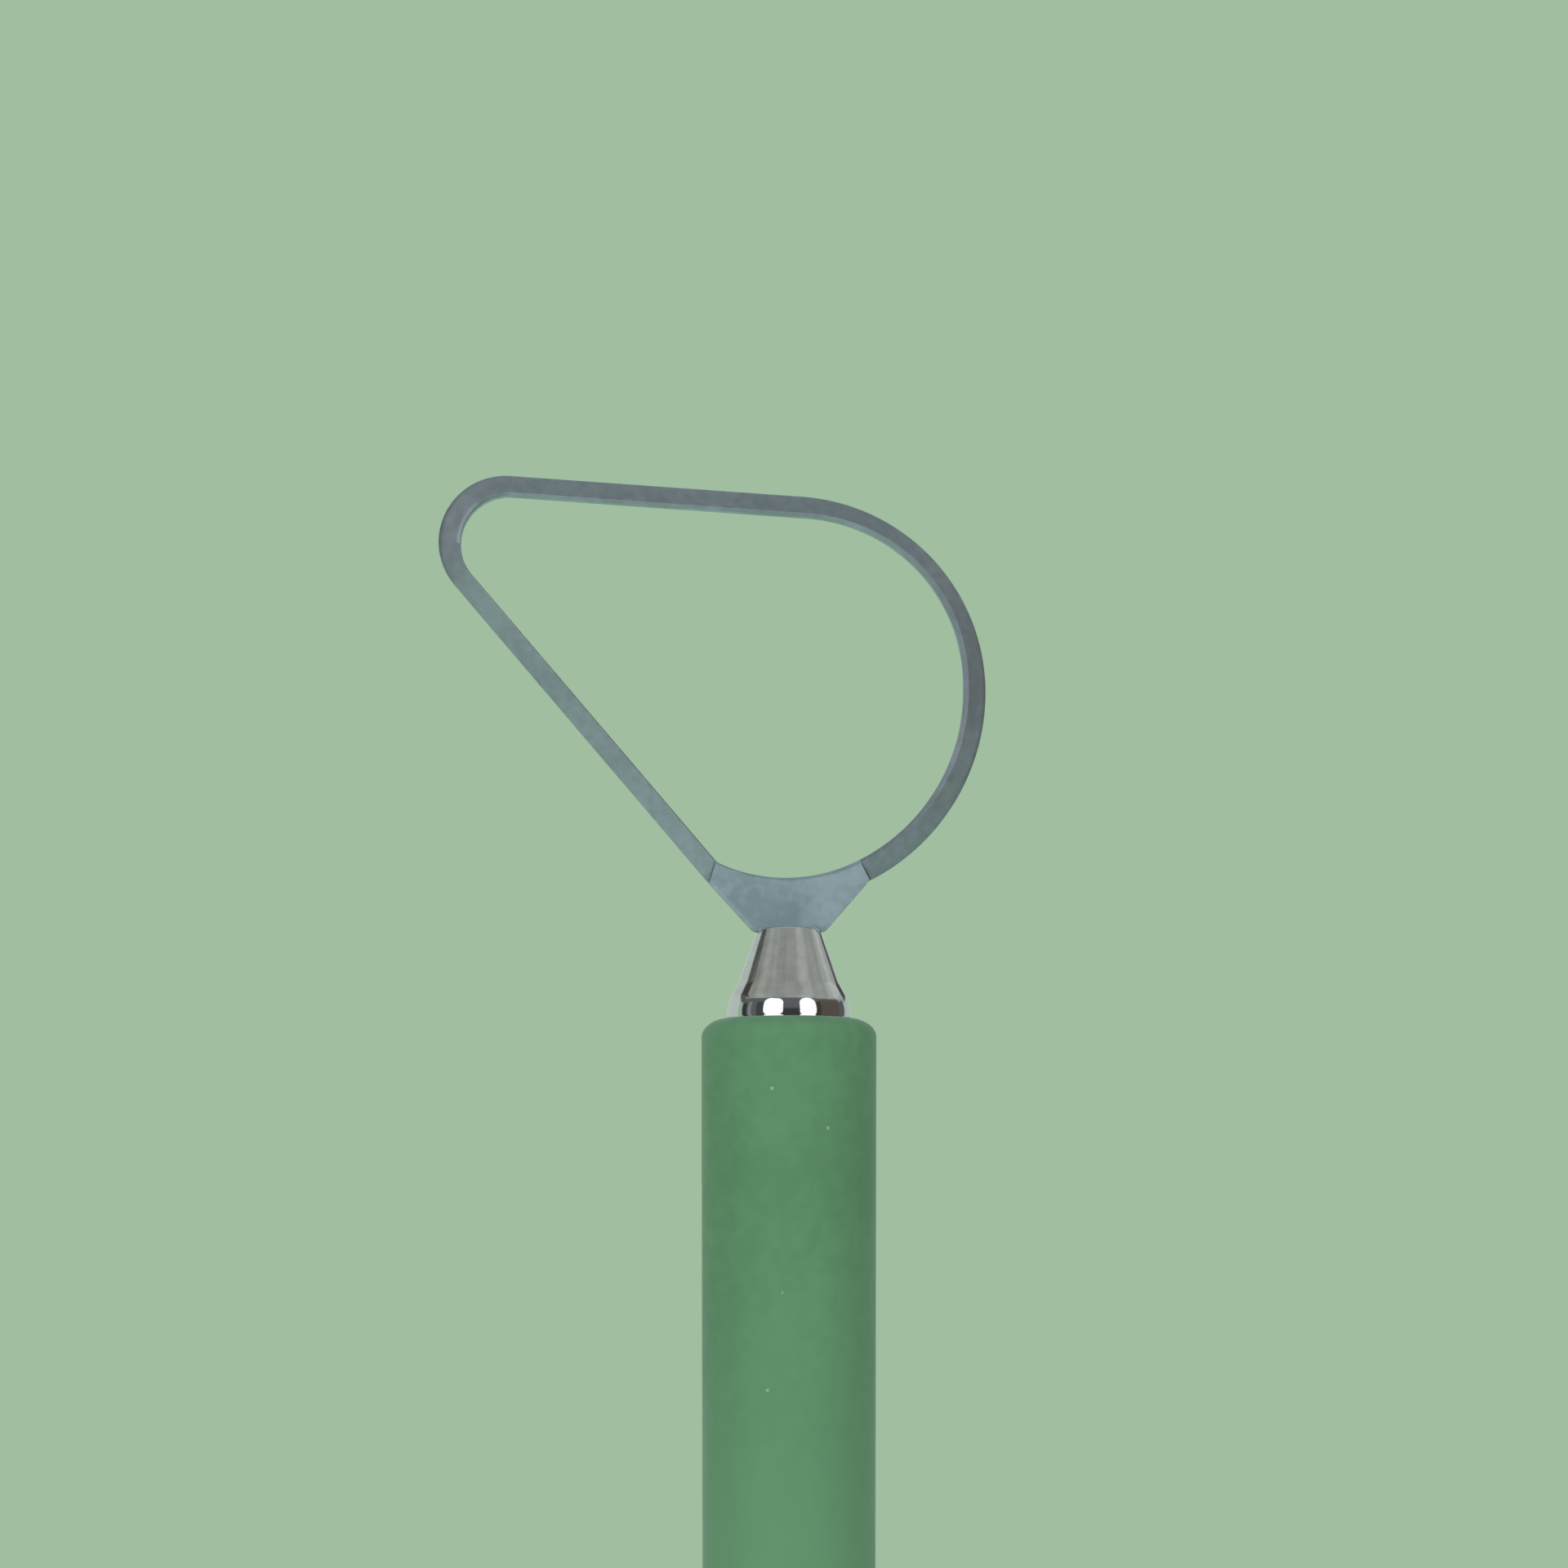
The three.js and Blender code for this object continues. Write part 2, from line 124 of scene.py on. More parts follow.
class Run(Enum):
    """How a ramp runs between its ends."""

    STRAIGHT = "LINEAR"
    SOFT = "SMOOTHSTEP"
    SOFTER = "SMOOTHERSTEP"


def ramp(
    tree: Tree,
    value: Socket,
    span: tuple[float, float],
    ends: tuple[float, float] = (0.0, 1.0),
    run: Run = Run.SOFT,
) -> Socket:
    """Adds a ramp that follows a value.

    Args:
        tree: The tree that gets it.
        value: The value that it follows.
        span: The values between which it runs.
        ends: What it gives there.
        run: How it runs between them.

    Returns:
        The ramp's socket.
    """
    limits = dict(zip(("From Min", "From Max", "To Min", "To Max"), (*span, *ends)))
    inputs = {"Value": value, **limits}
    return add(tree, "ShaderNodeMapRange", inputs, interpolation_type=run.value).outputs["Result"]


def noise(tree: Tree, place: Socket, scale: object, detail: float) -> Socket:
    """Adds noise, with its cells per unit of the coordinates and its detail, from 0 to 1."""
    inputs = {"Vector": place, "Scale": scale, "Detail": detail}
    return add(tree, "ShaderNodeTexNoise", inputs).outputs["Fac"]


def blend(tree: Tree, factor: object, first: object, second: object) -> Socket:
    """Adds a mix of two colours, by a factor of 0 for the first and 1 for the second."""
    return add(tree, "ShaderNodeMix", {0: factor, 6: first, 7: second}, data_type="RGBA").outputs[2]


def new_material(name: str) -> tuple[Material, Tree]:
    """Makes a material with an empty tree.

    Args:
        name: The material's name.

    Returns:
        The material and its tree.
    """
    material = bpy.data.materials.new(name)
    material.use_nodes = True
    material.node_tree.nodes.clear()
    return material, material.node_tree


# Finishes


@dataclass(frozen=True)
class Patches:
    """Soft patches that a surface varies by: their real size, and how far the values part."""

    size: float
    low: float
    high: float
    detail: float = 2.0
    noise_span: tuple[float, float] = (0.3, 0.7)

    def add_to(self, tree: Tree, place: Socket) -> Socket:
        """Adds the patches to a tree, by its coordinates in metres, and gives their socket."""
        cells = noise(tree, place, 1 / self.size, self.detail)
        return ramp(tree, cells, self.noise_span, (self.low, self.high), Run.STRAIGHT)


@dataclass(frozen=True)
class Tone:
    """Two colours that run into each other in clouds and a finer mottle.

    The clouds are taken from a place of their own in the noise, which for the blade's steel is
    fitted so that they also paint light and shade.
    """

    dark: str
    light: str
    cloud: Patches
    mottle: Patches
    # Where the clouds are taken from; the blade's steel has it fitted so that the clouds paint light
    # and shade.
    cloud_and_painted_light_from: tuple[float, float, float] = (0.0, 0.0, 0.0)


class Finish:
    """A material in the making: its tree, its surface shader and the object's own coordinates."""

    def __init__(self, name: str, **values: object) -> None:
        """Starts a material with one shader.

        Args:
            name: The material's name.
            **values: The shader's constant inputs, with spaces as underscores.
        """
        self.material, self.tree = new_material(name)
        self.place = add(self.tree, "ShaderNodeTexCoord").outputs["Object"]
        constants = {key.replace("_", " "): value for key, value in values.items()}
        self.shader = add(self.tree, "ShaderNodeBsdfPrincipled", constants)
        add(self.tree, "ShaderNodeOutputMaterial", {"Surface": self.shader.outputs["BSDF"]})

    def socket_of(self, source: Socket | Patches) -> Socket:
        """Gives the socket of some patches, or the socket itself."""
        return source.add_to(self.tree, self.place) if isinstance(source, Patches) else source

    def feed(self, name: str, source: Socket | Patches) -> None:
        """Feeds an input of the shader from a socket or patches."""
        self.tree.links.new(self.socket_of(source), self.shader.inputs[name])

    def height(self) -> Socket:
        """Gives the height above the butt."""
        return add(self.tree, "ShaderNodeSeparateXYZ", {"Vector": self.place}).outputs["Z"]

    def clouded(self, tone: Tone) -> Socket:
        """Runs a tone's two colours into each other.

        Args:
            tone: The colours and their clouds.

        Returns:
            The colour's socket.
        """
        # The shift places the clouds; for the blade's steel it is fitted so that they paint light and
        # shade.
        shift = {"Vector": self.place, "Location": tone.cloud_and_painted_light_from}
        shifted = add(self.tree, "ShaderNodeMapping", shift).outputs["Vector"]
        cloud = tone.cloud.add_to(self.tree, shifted)
        share = math_of(self.tree, "ADD", cloud, self.socket_of(tone.mottle), clamp=True)
        return blend(self.tree, share, linear(tone.dark), linear(tone.light))

    def lines(
        self, place: Socket, spacings: tuple[float, float, float], detail: float = 2.0
    ) -> Socket:
        """Draws noise out into lines.

        Args:
            place: The coordinates in metres.
            spacings: The noise's cells along each axis, in metres.
            detail: The noise's detail.

        Returns:
            A value from 0 to 1.
        """
        scale = tuple(1 / spacing for spacing in spacings)
        drawn = add(self.tree, "ShaderNodeMapping", {"Vector": place, "Scale": scale})
        return noise(self.tree, drawn.outputs["Vector"], scale=1.0, detail=detail)

    def relief(self, height: Socket | Patches, depth: float, strength: float = 0.5) -> None:
        """Gives the shader a fine relief, its depth in metres, of which a share shows."""
        inputs = {"Height": self.socket_of(height), "Distance": depth, "Strength": strength}
        self.feed("Normal", add(self.tree, "ShaderNodeBump", inputs).outputs["Normal"])


class SteelFace(Enum):
    """How a face of the blade was left."""

    BLASTED = "blasted"
    GROUND = "ground"


@dataclass(frozen=True)
class CarbonSteel:
    """Hardened carbon steel plate, bead-blasted after hardening, its loop ground on a fine wheel.

    The blasting leaves a soft, even, blue-grey face with faint cloudy patches. The wheel leaves
    lines across the band, which are drawn 0.12 mm apart, several times coarser than real, to show.
    Each face takes its clouds from a place of its own in the noise, fitted so that the clouds also
    paint light and shade: the root's painted dull patch lies in its middle, and the loop has painted
    light down its diagonal and painted shade round its belly.
    """

    blasted: Tone = Tone(
        "#9cb3b8",
        "#b5cad3",
        Patches(5.0 * MM, 0.0, 1.0),
        Patches(0.7 * MM, -0.4, 0.4, 4.0),
        # Painted light and shade: the clouds' place, fitted to put a darker patch in the root's
        # middle and lighter steel to its right.
        (-294.1 * MM, -292.9 * MM, 283.6 * MM),
    )
    ground: Tone = Tone(
        "#97a3aa",
        "#b0bdc7",
        Patches(11.0 * MM, 0.0, 1.0),
        Patches(0.7 * MM, -0.27, 0.27, 4.0),
        # Painted light and shade: the clouds' place, fitted to light the loop's diagonal and shade
        # its belly.
        (-57.3 * MM, -3.7 * MM, -299.4 * MM),
    )
    metallic: float = 0.95
    roughness: Patches = Patches(1.6 * MM, 0.46, 0.55)
    grain: Patches = Patches(0.14 * MM, 0.0, 1.0)
    grain_depth: float = 0.004 * MM
    grain_strength: float = 0.6
    line_spacing: float = 0.12 * MM
    line_length: float = 2.4 * MM
    line_depth: float = 0.0012 * MM
    line_detail: float = 3.0

    def make(self, face: SteelFace) -> Material:
        """Makes the steel's material.

        Args:
            face: Whether the face was blasted or ground.

        Returns:
            The material.
        """
        finish = Finish(f"carbon_steel_{face.value}", Metallic=self.metallic)
        ground = face is SteelFace.GROUND
        finish.feed("Base Color", finish.clouded(self.ground if ground else self.blasted))
        finish.feed("Roughness", self.roughness)
        if ground:
            along = add(finish.tree, "ShaderNodeUVMap", uv_map="grind").outputs["UV"]
            cells = (self.line_spacing, self.line_length, 1.0)
            finish.relief(finish.lines(along, cells, self.line_detail), self.line_depth)
        else:
            finish.relief(self.grain, self.grain_depth, self.grain_strength)
        return finish.material


@dataclass(frozen=True)
class ChromedSteel:
    """Turned steel under bright chrome, polished up to some height and satin above it.

    Where the steel was polished first, the plating mirrors the studio sharply. Above, the turning
    marks are left: it is a little blotchy and draws every light out along the axis. The polish runs
    out softly, as the mop left it.
    """

    name: str
    polished_to: float
    run_out: float = 0.35 * MM
    satin_light: str = "#e6e9e5"
    satin_dark: str = "#d3d6d2"
    polished: str = "#e4e6e4"
    blotches: Patches = Patches(0.8 * MM, 0.0, 1.0, 3.0)
    satin_roughness: Patches = Patches(0.7 * MM, 0.09, 0.14)
    smudges: Patches = Patches(2.4 * MM, 0.045, 0.09)
    stretch: float = 0.7
    mark_pitch: float = 0.09 * MM
    mark_length: float = 50.0 * MM
    mark_depth: float = 0.0015 * MM

    def make(self) -> Material:
        """Makes the chrome's material.

        Returns:
            The material.
        """
        finish = Finish(self.name, Metallic=1.0, Anisotropic=self.stretch)
        tree = finish.tree
        half = self.run_out / 2
        satin = ramp(tree, finish.height(), (self.polished_to - half, self.polished_to + half))
        tones = (linear(self.satin_dark), linear(self.satin_light))
        plating = blend(tree, finish.socket_of(self.blotches), *tones)
        finish.feed("Base Color", blend(tree, satin, linear(self.polished), plating))
        smudged, rough = map(finish.socket_of, (self.smudges, self.satin_roughness))
        spread = add(tree, "ShaderNodeMix", {"Factor": satin, "A": smudged, "B": rough})
        finish.feed("Roughness", spread.outputs["Result"])
        finish.feed("Tangent", add(tree, "ShaderNodeCombineXYZ", {"Z": 1.0}).outputs["Vector"])
        marks = finish.lines(finish.place, (self.mark_length, self.mark_length, self.mark_pitch))
        finish.relief(math_of(tree, "MULTIPLY", marks, satin), self.mark_depth)
        return finish.material


@dataclass(frozen=True)
class MouldedSilicone:
    """Sage green silicone, moulded against a fine matt mould and a little dusty.

    The face is soft and nearly flat in tone, with a pale bloom towards the edges, faint cloudy
    patches and a few specks of lint. Lower down it is painted a little paler, as painted light. The
    mould's grain is drawn 0.2 mm wide so that it shows.
    """

    green_tone: Tone = Tone(
        "#52815c", "#598963", Patches(9.0 * MM, 0.0, 1.0), Patches(1.1 * MM, -0.45, 0.45, 3.0)
    )
    # Painted light: the paler green that the sleeve runs to towards its bottom.
    painted_light_green: str = "#5e8d69"
    lint: str = "#7da786"
    roughness: Patches = Patches(1.8 * MM, 0.57, 0.67)
    grain: Patches = Patches(0.2 * MM, 0.0, 1.0)
    grain_depth: float = 0.006 * MM
    ior: float = 1.41
    bloom: str = "#b9d2d6"
    bloom_weight: float = 0.3
    bloom_roughness: float = 0.35
    painted_light_from: float = 118.0 * MM
    painted_light_to: float = 85.0 * MM
    lint_cell: float = 3.2 * MM
    lint_size: float = 0.04

    def make(self) -> Material:
        """Makes the silicone's material.

        Returns:
            The material.
        """
        finish = Finish(
            "moulded_silicone",
            IOR=self.ior,
            Sheen_Weight=self.bloom_weight,
            Sheen_Roughness=self.bloom_roughness,
            Sheen_Tint=linear(self.bloom),
        )
        tree = finish.tree
        # Painted light: the green runs paler from the upper height down to the lower one.
        painted_light_share = ramp(tree, finish.height(), (self.painted_light_from, self.painted_light_to))
        green = blend(tree, painted_light_share, finish.clouded(self.green_tone), linear(self.painted_light_green))
        cells = {"Vector": finish.place, "Scale": 1 / self.lint_cell}
        distance = add(tree, "ShaderNodeTexVoronoi", cells).outputs["Distance"]
        specks = math_of(tree, "LESS_THAN", distance, self.lint_size)
        finish.feed("Base Color", blend(tree, specks, green, linear(self.lint)))
        finish.feed("Roughness", self.roughness)
        finish.relief(self.grain, self.grain_depth)
        return finish.material


@dataclass(frozen=True)
class DrawnMetal:
    """Drawn bar or tube: bright, with faint draw lines along its length."""

    name: str
    colour: str
    shadow: str
    roughness: Patches
    line_spacing: float = 0.15 * MM
    line_length: float = 25.0 * MM
    line_depth: float = 0.002 * MM

    def make(self) -> Material:
        """Makes the drawn metal's material.

        Returns:
            The material.
        """
        finish = Finish(self.name, Metallic=1.0)
        cells = (self.line_spacing, self.line_spacing, self.line_length)
        lines = finish.lines(finish.place, cells)
        metal = blend(finish.tree, lines, linear(self.shadow), linear(self.colour))
        finish.feed("Base Color", metal)
        finish.feed("Roughness", self.roughness)
        finish.relief(lines, self.line_depth)
        return finish.material


# Outlines and meshes


def polar(centre: Vector, radius: float, angle: float) -> Vector:
    """Gives the point at a distance and an angle from a centre."""
    return Vector((centre.x + radius * math.cos(angle), centre.y + radius * math.sin(angle)))


def unit(angle: float) -> Vector:
    """Gives the direction at an angle."""
    return polar(Vector((0.0, 0.0)), 1.0, angle)


def arc(centre: Vector, radius: float, start: float, end: float, steps: int) -> list[Vector]:
    """Gives points along an arc from one angle to another, both ends included."""
    return [polar(centre, radius, start + (end - start) * i / steps) for i in range(steps + 1)]


def tangent_angle(
    centre: Vector, radius: float, other: Vector, other_radius: float, side: int
) -> float:
    """Gives the direction of a line that touches two circles on the same side.

    Args:
        centre: The first circle's centre.
        radius: Its radius.
        other: The other circle's centre.
        other_radius: The other circle's radius.
        side: 1 or -1, for which of the two lines it is.

    Returns:
        The angle of the line's outward normal, from 0 to a whole turn.
    """
    span = other - centre
    lean = math.acos((radius - other_radius) / span.length)
    return (math.atan2(span.y, span.x) + side * lean) % (2 * HALF_TURN)


def line(start: Vector, end: Vector, steps: int) -> list[Vector]:
    """Gives points along a straight line, both ends included."""
    return [start.lerp(end, i / steps) for i in range(steps + 1)]


def travelled(points: list[Vector]) -> list[float]:
    """Gives how far along a line of points each of them lies."""
    return [0.0, *accumulate((b - a).length for a, b in zip(points, points[1:]))]


def new_object(name: str, data: bpy.types.ID) -> Piece:
    """Makes an object and puts it into the scene.

    Args:
        name: The object's name.
        data: The mesh, lamp or camera that it is made of.

    Returns:
        The object.
    """
    made = bpy.data.objects.new(name, data)
    bpy.context.scene.collection.objects.link(made)
    return made


def mesh_of(
    name: str, points: list[Vector | tuple[float, float, float]], faces: list[tuple[int, ...]]
) -> Mesh:
    """Makes a mesh whose faces point outwards.

    Args:
        name: The mesh's name.
        points: Its corners, in metres.
        faces: Its faces, as numbers of corners.

    Returns:
        The mesh.
    """
    mesh = bpy.data.meshes.new(name)
    mesh.from_pydata([tuple(p) for p in points], [], faces)
    turn_outwards(mesh)
    return mesh


def turn_outwards(mesh: Mesh) -> None:
    """Turns a mesh's faces outwards.

    Args:
        mesh: The closed mesh.
    """
    work = bmesh.new()
    work.from_mesh(mesh)
    bmesh.ops.recalc_face_normals(work, faces=work.faces)
    if work.calc_volume(signed=True) < 0:
        bmesh.ops.reverse_faces(work, faces=work.faces)
    work.to_mesh(mesh)
    work.free()


def turned(name: str, profile: list[Vector], steps: int) -> Mesh:
    """Turns a profile about the handle's axis into a closed mesh.

    Args:
        name: The mesh's name.
        profile: Points of radius and height, which start and end on the axis.
        steps: How many steps go round.

    Returns:
        The mesh.
    """
    points = [(0.0, 0.0, profile[0].y), (0.0, 0.0, profile[-1].y)]
    faces = []
    around = [2 * HALF_TURN * k / steps for k in range(steps)]
    for ring in profile[1:-1]:
        points.extend((ring.x * math.cos(a), ring.x * math.sin(a), ring.y) for a in around)
    rings = len(profile) - 2
    for k in range(steps):
        after = (k + 1) % steps
        faces.append((0, 2 + after, 2 + k))
        last = 2 + (rings - 1) * steps
        faces.append((1, last + k, last + after))
        for r in range(rings - 1):
            low = 2 + r * steps
            high = low + steps
            faces.append((low + k, low + after, high + after, high + k))
    return mesh_of(name, points, faces)


def block(name: str, low: Vector, high: Vector) -> Piece:
    """Makes a plain box as a cutter or a tang.

    Args:
        name: The object's name.
        low: Its lowest corner.
        high: Its highest corner.

    Returns:
        The object.
    """
    corners = [(x, y, z) for z in (low.z, high.z) for y in (low.y, high.y) for x in (low.x, high.x)]
    faces = [(0, 2, 3, 1), (4, 5, 7, 6), (0, 1, 5, 4), (2, 6, 7, 3), (0, 4, 6, 2), (1, 3, 7, 5)]
    return new_object(name, mesh_of(name, corners, faces))


def cross_rod(name: str, radius: float, length: float, height: float, steps: int = 48) -> Piece:
    """Makes a rod along Y, centred on the handle's axis.

    Args:
        name: The object's name.
        radius: The rod's radius.
        length: Its length.
        height: The height of its axis.
        steps: How many steps go round.

    Returns:
        The object.
    """
    points = []
    for y in (-length / 2, length / 2):
        ring = arc(Vector((0.0, height)), radius, 0.0, 2 * HALF_TURN, steps)[:-1]
        points.extend((p.x, y, p.y) for p in ring)
    faces = [(k, (k + 1) % steps, steps + (k + 1) % steps, steps + k) for k in range(steps)]
    faces.append(tuple(range(steps)))
    faces.append(tuple(range(steps, 2 * steps)))
    return new_object(name, mesh_of(name, points, faces))


class Solid(Enum):
    """What becomes of a solid that is combined with a piece."""

    JOINED = "UNION"
    CUT_AWAY = "DIFFERENCE"


def combine(piece: Piece, other: Piece, how: Solid) -> None:
    """Combines a piece with another solid, which is used up.

    Args:
        piece: The piece that changes.
        other: The other solid.
        how: Whether it is joined on or cut away.
    """
    step = piece.modifiers.new(how.name, "BOOLEAN")
    step.operation = how.value
    step.solver = "EXACT"
    step.object = other
    settle(piece)
    bpy.data.objects.remove(other)


def settle(piece: Piece) -> None:
    """Turns a piece with its modifiers into a plain mesh.

    Args:
        piece: The piece.
    """
    evaluated = piece.evaluated_get(bpy.context.evaluated_depsgraph_get())
    mesh = bpy.data.meshes.new_from_object(evaluated)
    piece.modifiers.clear()
    piece.data = mesh


def smooth(piece: Piece, crease: float) -> None:
    """Shades a piece smoothly between its creases, with its large faces true.

    Args:
        piece: The piece.
        crease: The angle in degrees from which an edge stays sharp.
    """
    piece.data.polygons.foreach_set("use_smooth", [True] * len(piece.data.polygons))
    piece.data.set_sharp_from_angle(angle=math.radians(crease))
    weigh = piece.modifiers.new("true_faces", "WEIGHTED_NORMAL")
    weigh.keep_sharp = True
    weigh.weight = 80
    settle(piece)


def hand_over(piece: Piece, node: str) -> None:
    """Gives a finished piece to the frame in the place of its CAD node.

    Args:
        piece: The finished piece.
        node: The CAD node that it stands for.
    """
    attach(piece, BODY)
    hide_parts(node)
    log.info("%s stands for %s: %d faces", piece.name, node, len(piece.data.polygons))


# Blade


@dataclass(frozen=True)
class Station:
    """One place round the blade: its points on both outlines, and how far it is ground."""

    outer: Vector
    inner: Vector
    ground: float


@dataclass
class Blade:
    """Loop, root plate and tang, cut from one steel plate, the loop ground to a bevel in front.

    The plate is a closed band round its opening: narrow in the loop, broad at the root. Its heights
    count from the root plate's foot, and its distances from the handle's axis.
    """

    node: str = "trimming_blade"
    slot: str = "blade_steel"
    thickness: float = 1.2 * MM
    tang_width: float = 3.0 * MM
    tang_length: float = 19.0 * MM
    tang_inset: float = 0.01 * MM
    tang_overlap: float = 1.0 * MM
    pin_hole_radius: float = 0.65 * MM
    pin_to_tang_end: float = 4.5 * MM
    foot_width: float = 5.0 * MM
    foot_rounding: float = 0.45 * MM
    root_left: float = 5.5 * MM
    root_left_height: float = 3.3 * MM
    root_right: float = 5.58 * MM
    belly_reach: float = 13.69 * MM
    belly_height: float = 16.75 * MM
    belly_upper_radius: float = 13.75 * MM
    belly_lower_radius: float = 14.79 * MM
    corner_reach: float = 19.8 * MM
    corner_height: float = 27.29 * MM
    corner_radius: float = 4.65 * MM
    top_band: float = 1.49 * MM
    belly_band: float = 1.57 * MM
    diagonal_band: float = 1.37 * MM
    corner_band: float = 1.3 * MM
    opening_straight: float = 0.52 * MM
    opening_left_height: float = 4.8 * MM
    opening_root_start: float = -66.0
    opening_root_corner: float = 0.5 * MM
    edge_land: float = 0.4 * MM
    edge_round: float = 0.05 * MM
    edge_bulge: float = 0.3
    ridge_flat: float = 0.03 * MM
    bevel_reach: float = 2.0 * MM
    relief_depth: float = 0.2 * MM
    relief_width: float = 0.2 * MM
    relief_shift: float = 0.16 * MM
    run_out: float = 0.2 * MM
    lower_steps: int = 72
    upper_steps: int = 90
    top_steps: int = 20
    corner_steps: int = 72
    diagonal_steps: int = 36
    foot_steps: int = 16
    rounding_steps: int = 8
    root_steps: int = 60
    nook_steps: int = 8
    heel_steps: int = 6
    bevel_steps: int = 5
    crease: float = 28.0

    def __post_init__(self) -> None:
        """Works out the outline's key points from the sizes and the frame."""
        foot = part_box(self.node)[0].z + self.tang_length
        self.foot = foot
        self.widest = Vector((self.belly_reach, foot + self.belly_height))
        self.upper = Vector((self.widest.x - self.belly_upper_radius, self.widest.y))
        self.lower = Vector((self.widest.x - self.belly_lower_radius, self.widest.y))
        self.corner = Vector((-self.corner_reach, foot + self.corner_height))
        self.left = Vector((-self.root_left, foot + self.root_left_height))
        round_corner = (self.corner, self.corner_radius)
        self.top_angle = tangent_angle(*round_corner, self.upper, self.belly_upper_radius, 1)
        self.diagonal_angle = tangent_angle(*round_corner, self.left, 0.0, -1)
        self.right_angle = -math.acos((self.root_right - self.lower.x) / self.belly_lower_radius)
        self.right = polar(self.lower, self.belly_lower_radius, self.right_angle)

    def opening_corner(self) -> tuple[Vector, float]:
        """Gives the opening's round corner.

        Returns:
            Its centre and its radius.
        """
        radius = self.corner_radius - self.corner_band
        normals = [unit(a) for a in (self.top_angle, self.diagonal_angle)]
        bands = (self.top_band, self.diagonal_band)
        reaches = [
            n.dot(self.corner) + self.corner_radius - b - radius for n, b in zip(normals, bands)
        ]
        cross = normals[0].cross(normals[1])
        x = (reaches[0] * normals[1].y - reaches[1] * normals[0].y) / cross
        y = (reaches[1] * normals[0].x - reaches[0] * normals[1].x) / cross
        return Vector((x, y)), radius

    def opening_root(self) -> list[Vector]:
        """Gives the opening's edge over the root plate.

        Returns:
            The points, from the diagonal's inner edge to the right.
        """
        inner = self.belly_lower_radius - self.belly_band
        start = math.radians(self.opening_root_start)
        turn = polar(self.lower, inner, start)
        normal = unit(self.diagonal_angle)
        reach = normal.dot(self.corner) + self.corner_radius - self.diagonal_band
        height = self.foot + self.opening_left_height
        meet = Vector(((reach - normal.y * height) / normal.x, height))
        inward = (self.lower - turn).normalized()
        span = meet - turn
        radius = span.length_squared / (2 * span.dot(inward))
        centre = turn + inward * radius
        small = self.opening_root_corner
        off = reach - small - normal.dot(centre)
        down = Vector((-normal.y, normal.x))
        nook = centre + normal * off + down * math.sqrt((radius - small) ** 2 - off**2)
        nook_end = math.atan2(nook.y - centre.y, nook.x - centre.x) % (2 * HALF_TURN)
        points = arc(nook, small, self.diagonal_angle, nook_end, self.nook_steps)
        points += arc(centre, radius, nook_end, start + 2 * HALF_TURN, self.root_steps)[1:]
        return points + arc(self.lower, inner, start, self.right_angle, self.heel_steps)[1:]

    def foot_outline(self) -> list[Vector]:
        """Gives the root plate's sides and foot.

        Returns:
            The points, from left to right.
        """
        half = self.foot_width / 2
        corners = [Vector((-half, self.foot)), Vector((half, self.foot))]
        ends = [self.left, *corners, self.right]
        points = [self.left]
        for before, at, after in zip(ends, ends[1:], ends[2:]):
            back = (before - at).normalized()
            ahead = (after - at).normalized()
            bend = math.acos(back.dot(ahead)) / 2
            centre = at + (back + ahead).normalized() * (self.foot_rounding / math.sin(bend))
            cut = self.foot_rounding / math.tan(bend)
            start, end = at + back * cut, at + ahead * cut
            points += line(points[-1], start, self.foot_steps)[1:]
            turn = start - centre
            sweep = HALF_TURN - 2 * bend
            first = math.atan2(turn.y, turn.x)
            ring = arc(centre, self.foot_rounding, first, first + sweep, self.rounding_steps)
            points += [*ring[1:-1], end]
        return points + line(points[-1], self.right, self.foot_steps)[1:]

    def stations(self) -> list[Station]:
        """Gives the places round the blade, from the right root corner up over the loop and down.

        Returns:
            The stations, each with how far the bevel is ground there, from 0 to 1.
        """
        outer_lower, steps = self.belly_lower_radius, self.lower_steps
        outer = arc(self.lower, outer_lower, self.right_angle, 0.0, steps)
        inner = arc(self.lower, outer_lower - self.belly_band, self.right_angle, 0.0, steps)
        corner, corner_radius = self.opening_corner()
        normal = unit(self.top_angle)
        side = Vector((self.widest.x - self.belly_band, self.widest.y + self.opening_straight))
        reach = normal.dot(corner) + corner_radius
        radius = (reach - normal.dot(side)) / (1 - normal.x)
        crown = Vector((side.x - radius, side.y))
        upper = (0.0, self.top_angle, self.upper_steps)
        outer += arc(self.upper, self.belly_upper_radius, *upper)[1:]
        inner += arc(crown, radius, *upper)[1:]
        sweep = (self.top_angle, self.diagonal_angle, self.corner_steps)
        outer_corner = arc(self.corner, self.corner_radius, *sweep)
        inner_corner = arc(corner, corner_radius, *sweep)
        outer += line(outer[-1], outer_corner[0], self.top_steps)[1:-1] + outer_corner
        inner += line(inner[-1], inner_corner[0], self.top_steps)[1:-1] + inner_corner
        root_inner = self.opening_root()
        outer += line(outer[-1], self.left, self.diagonal_steps)[1:]
        inner += line(inner[-1], root_inner[0], self.diagonal_steps)[1:]
        loop = self.with_run_outs(outer, inner)
        root_outer = self.foot_outline()[1:-1]
        root_inner = self.spread(root_inner, len(root_outer) + 2)[1:-1]
        return loop + [Station(o, i, 0.0) for o, i in zip(root_outer, root_inner)]

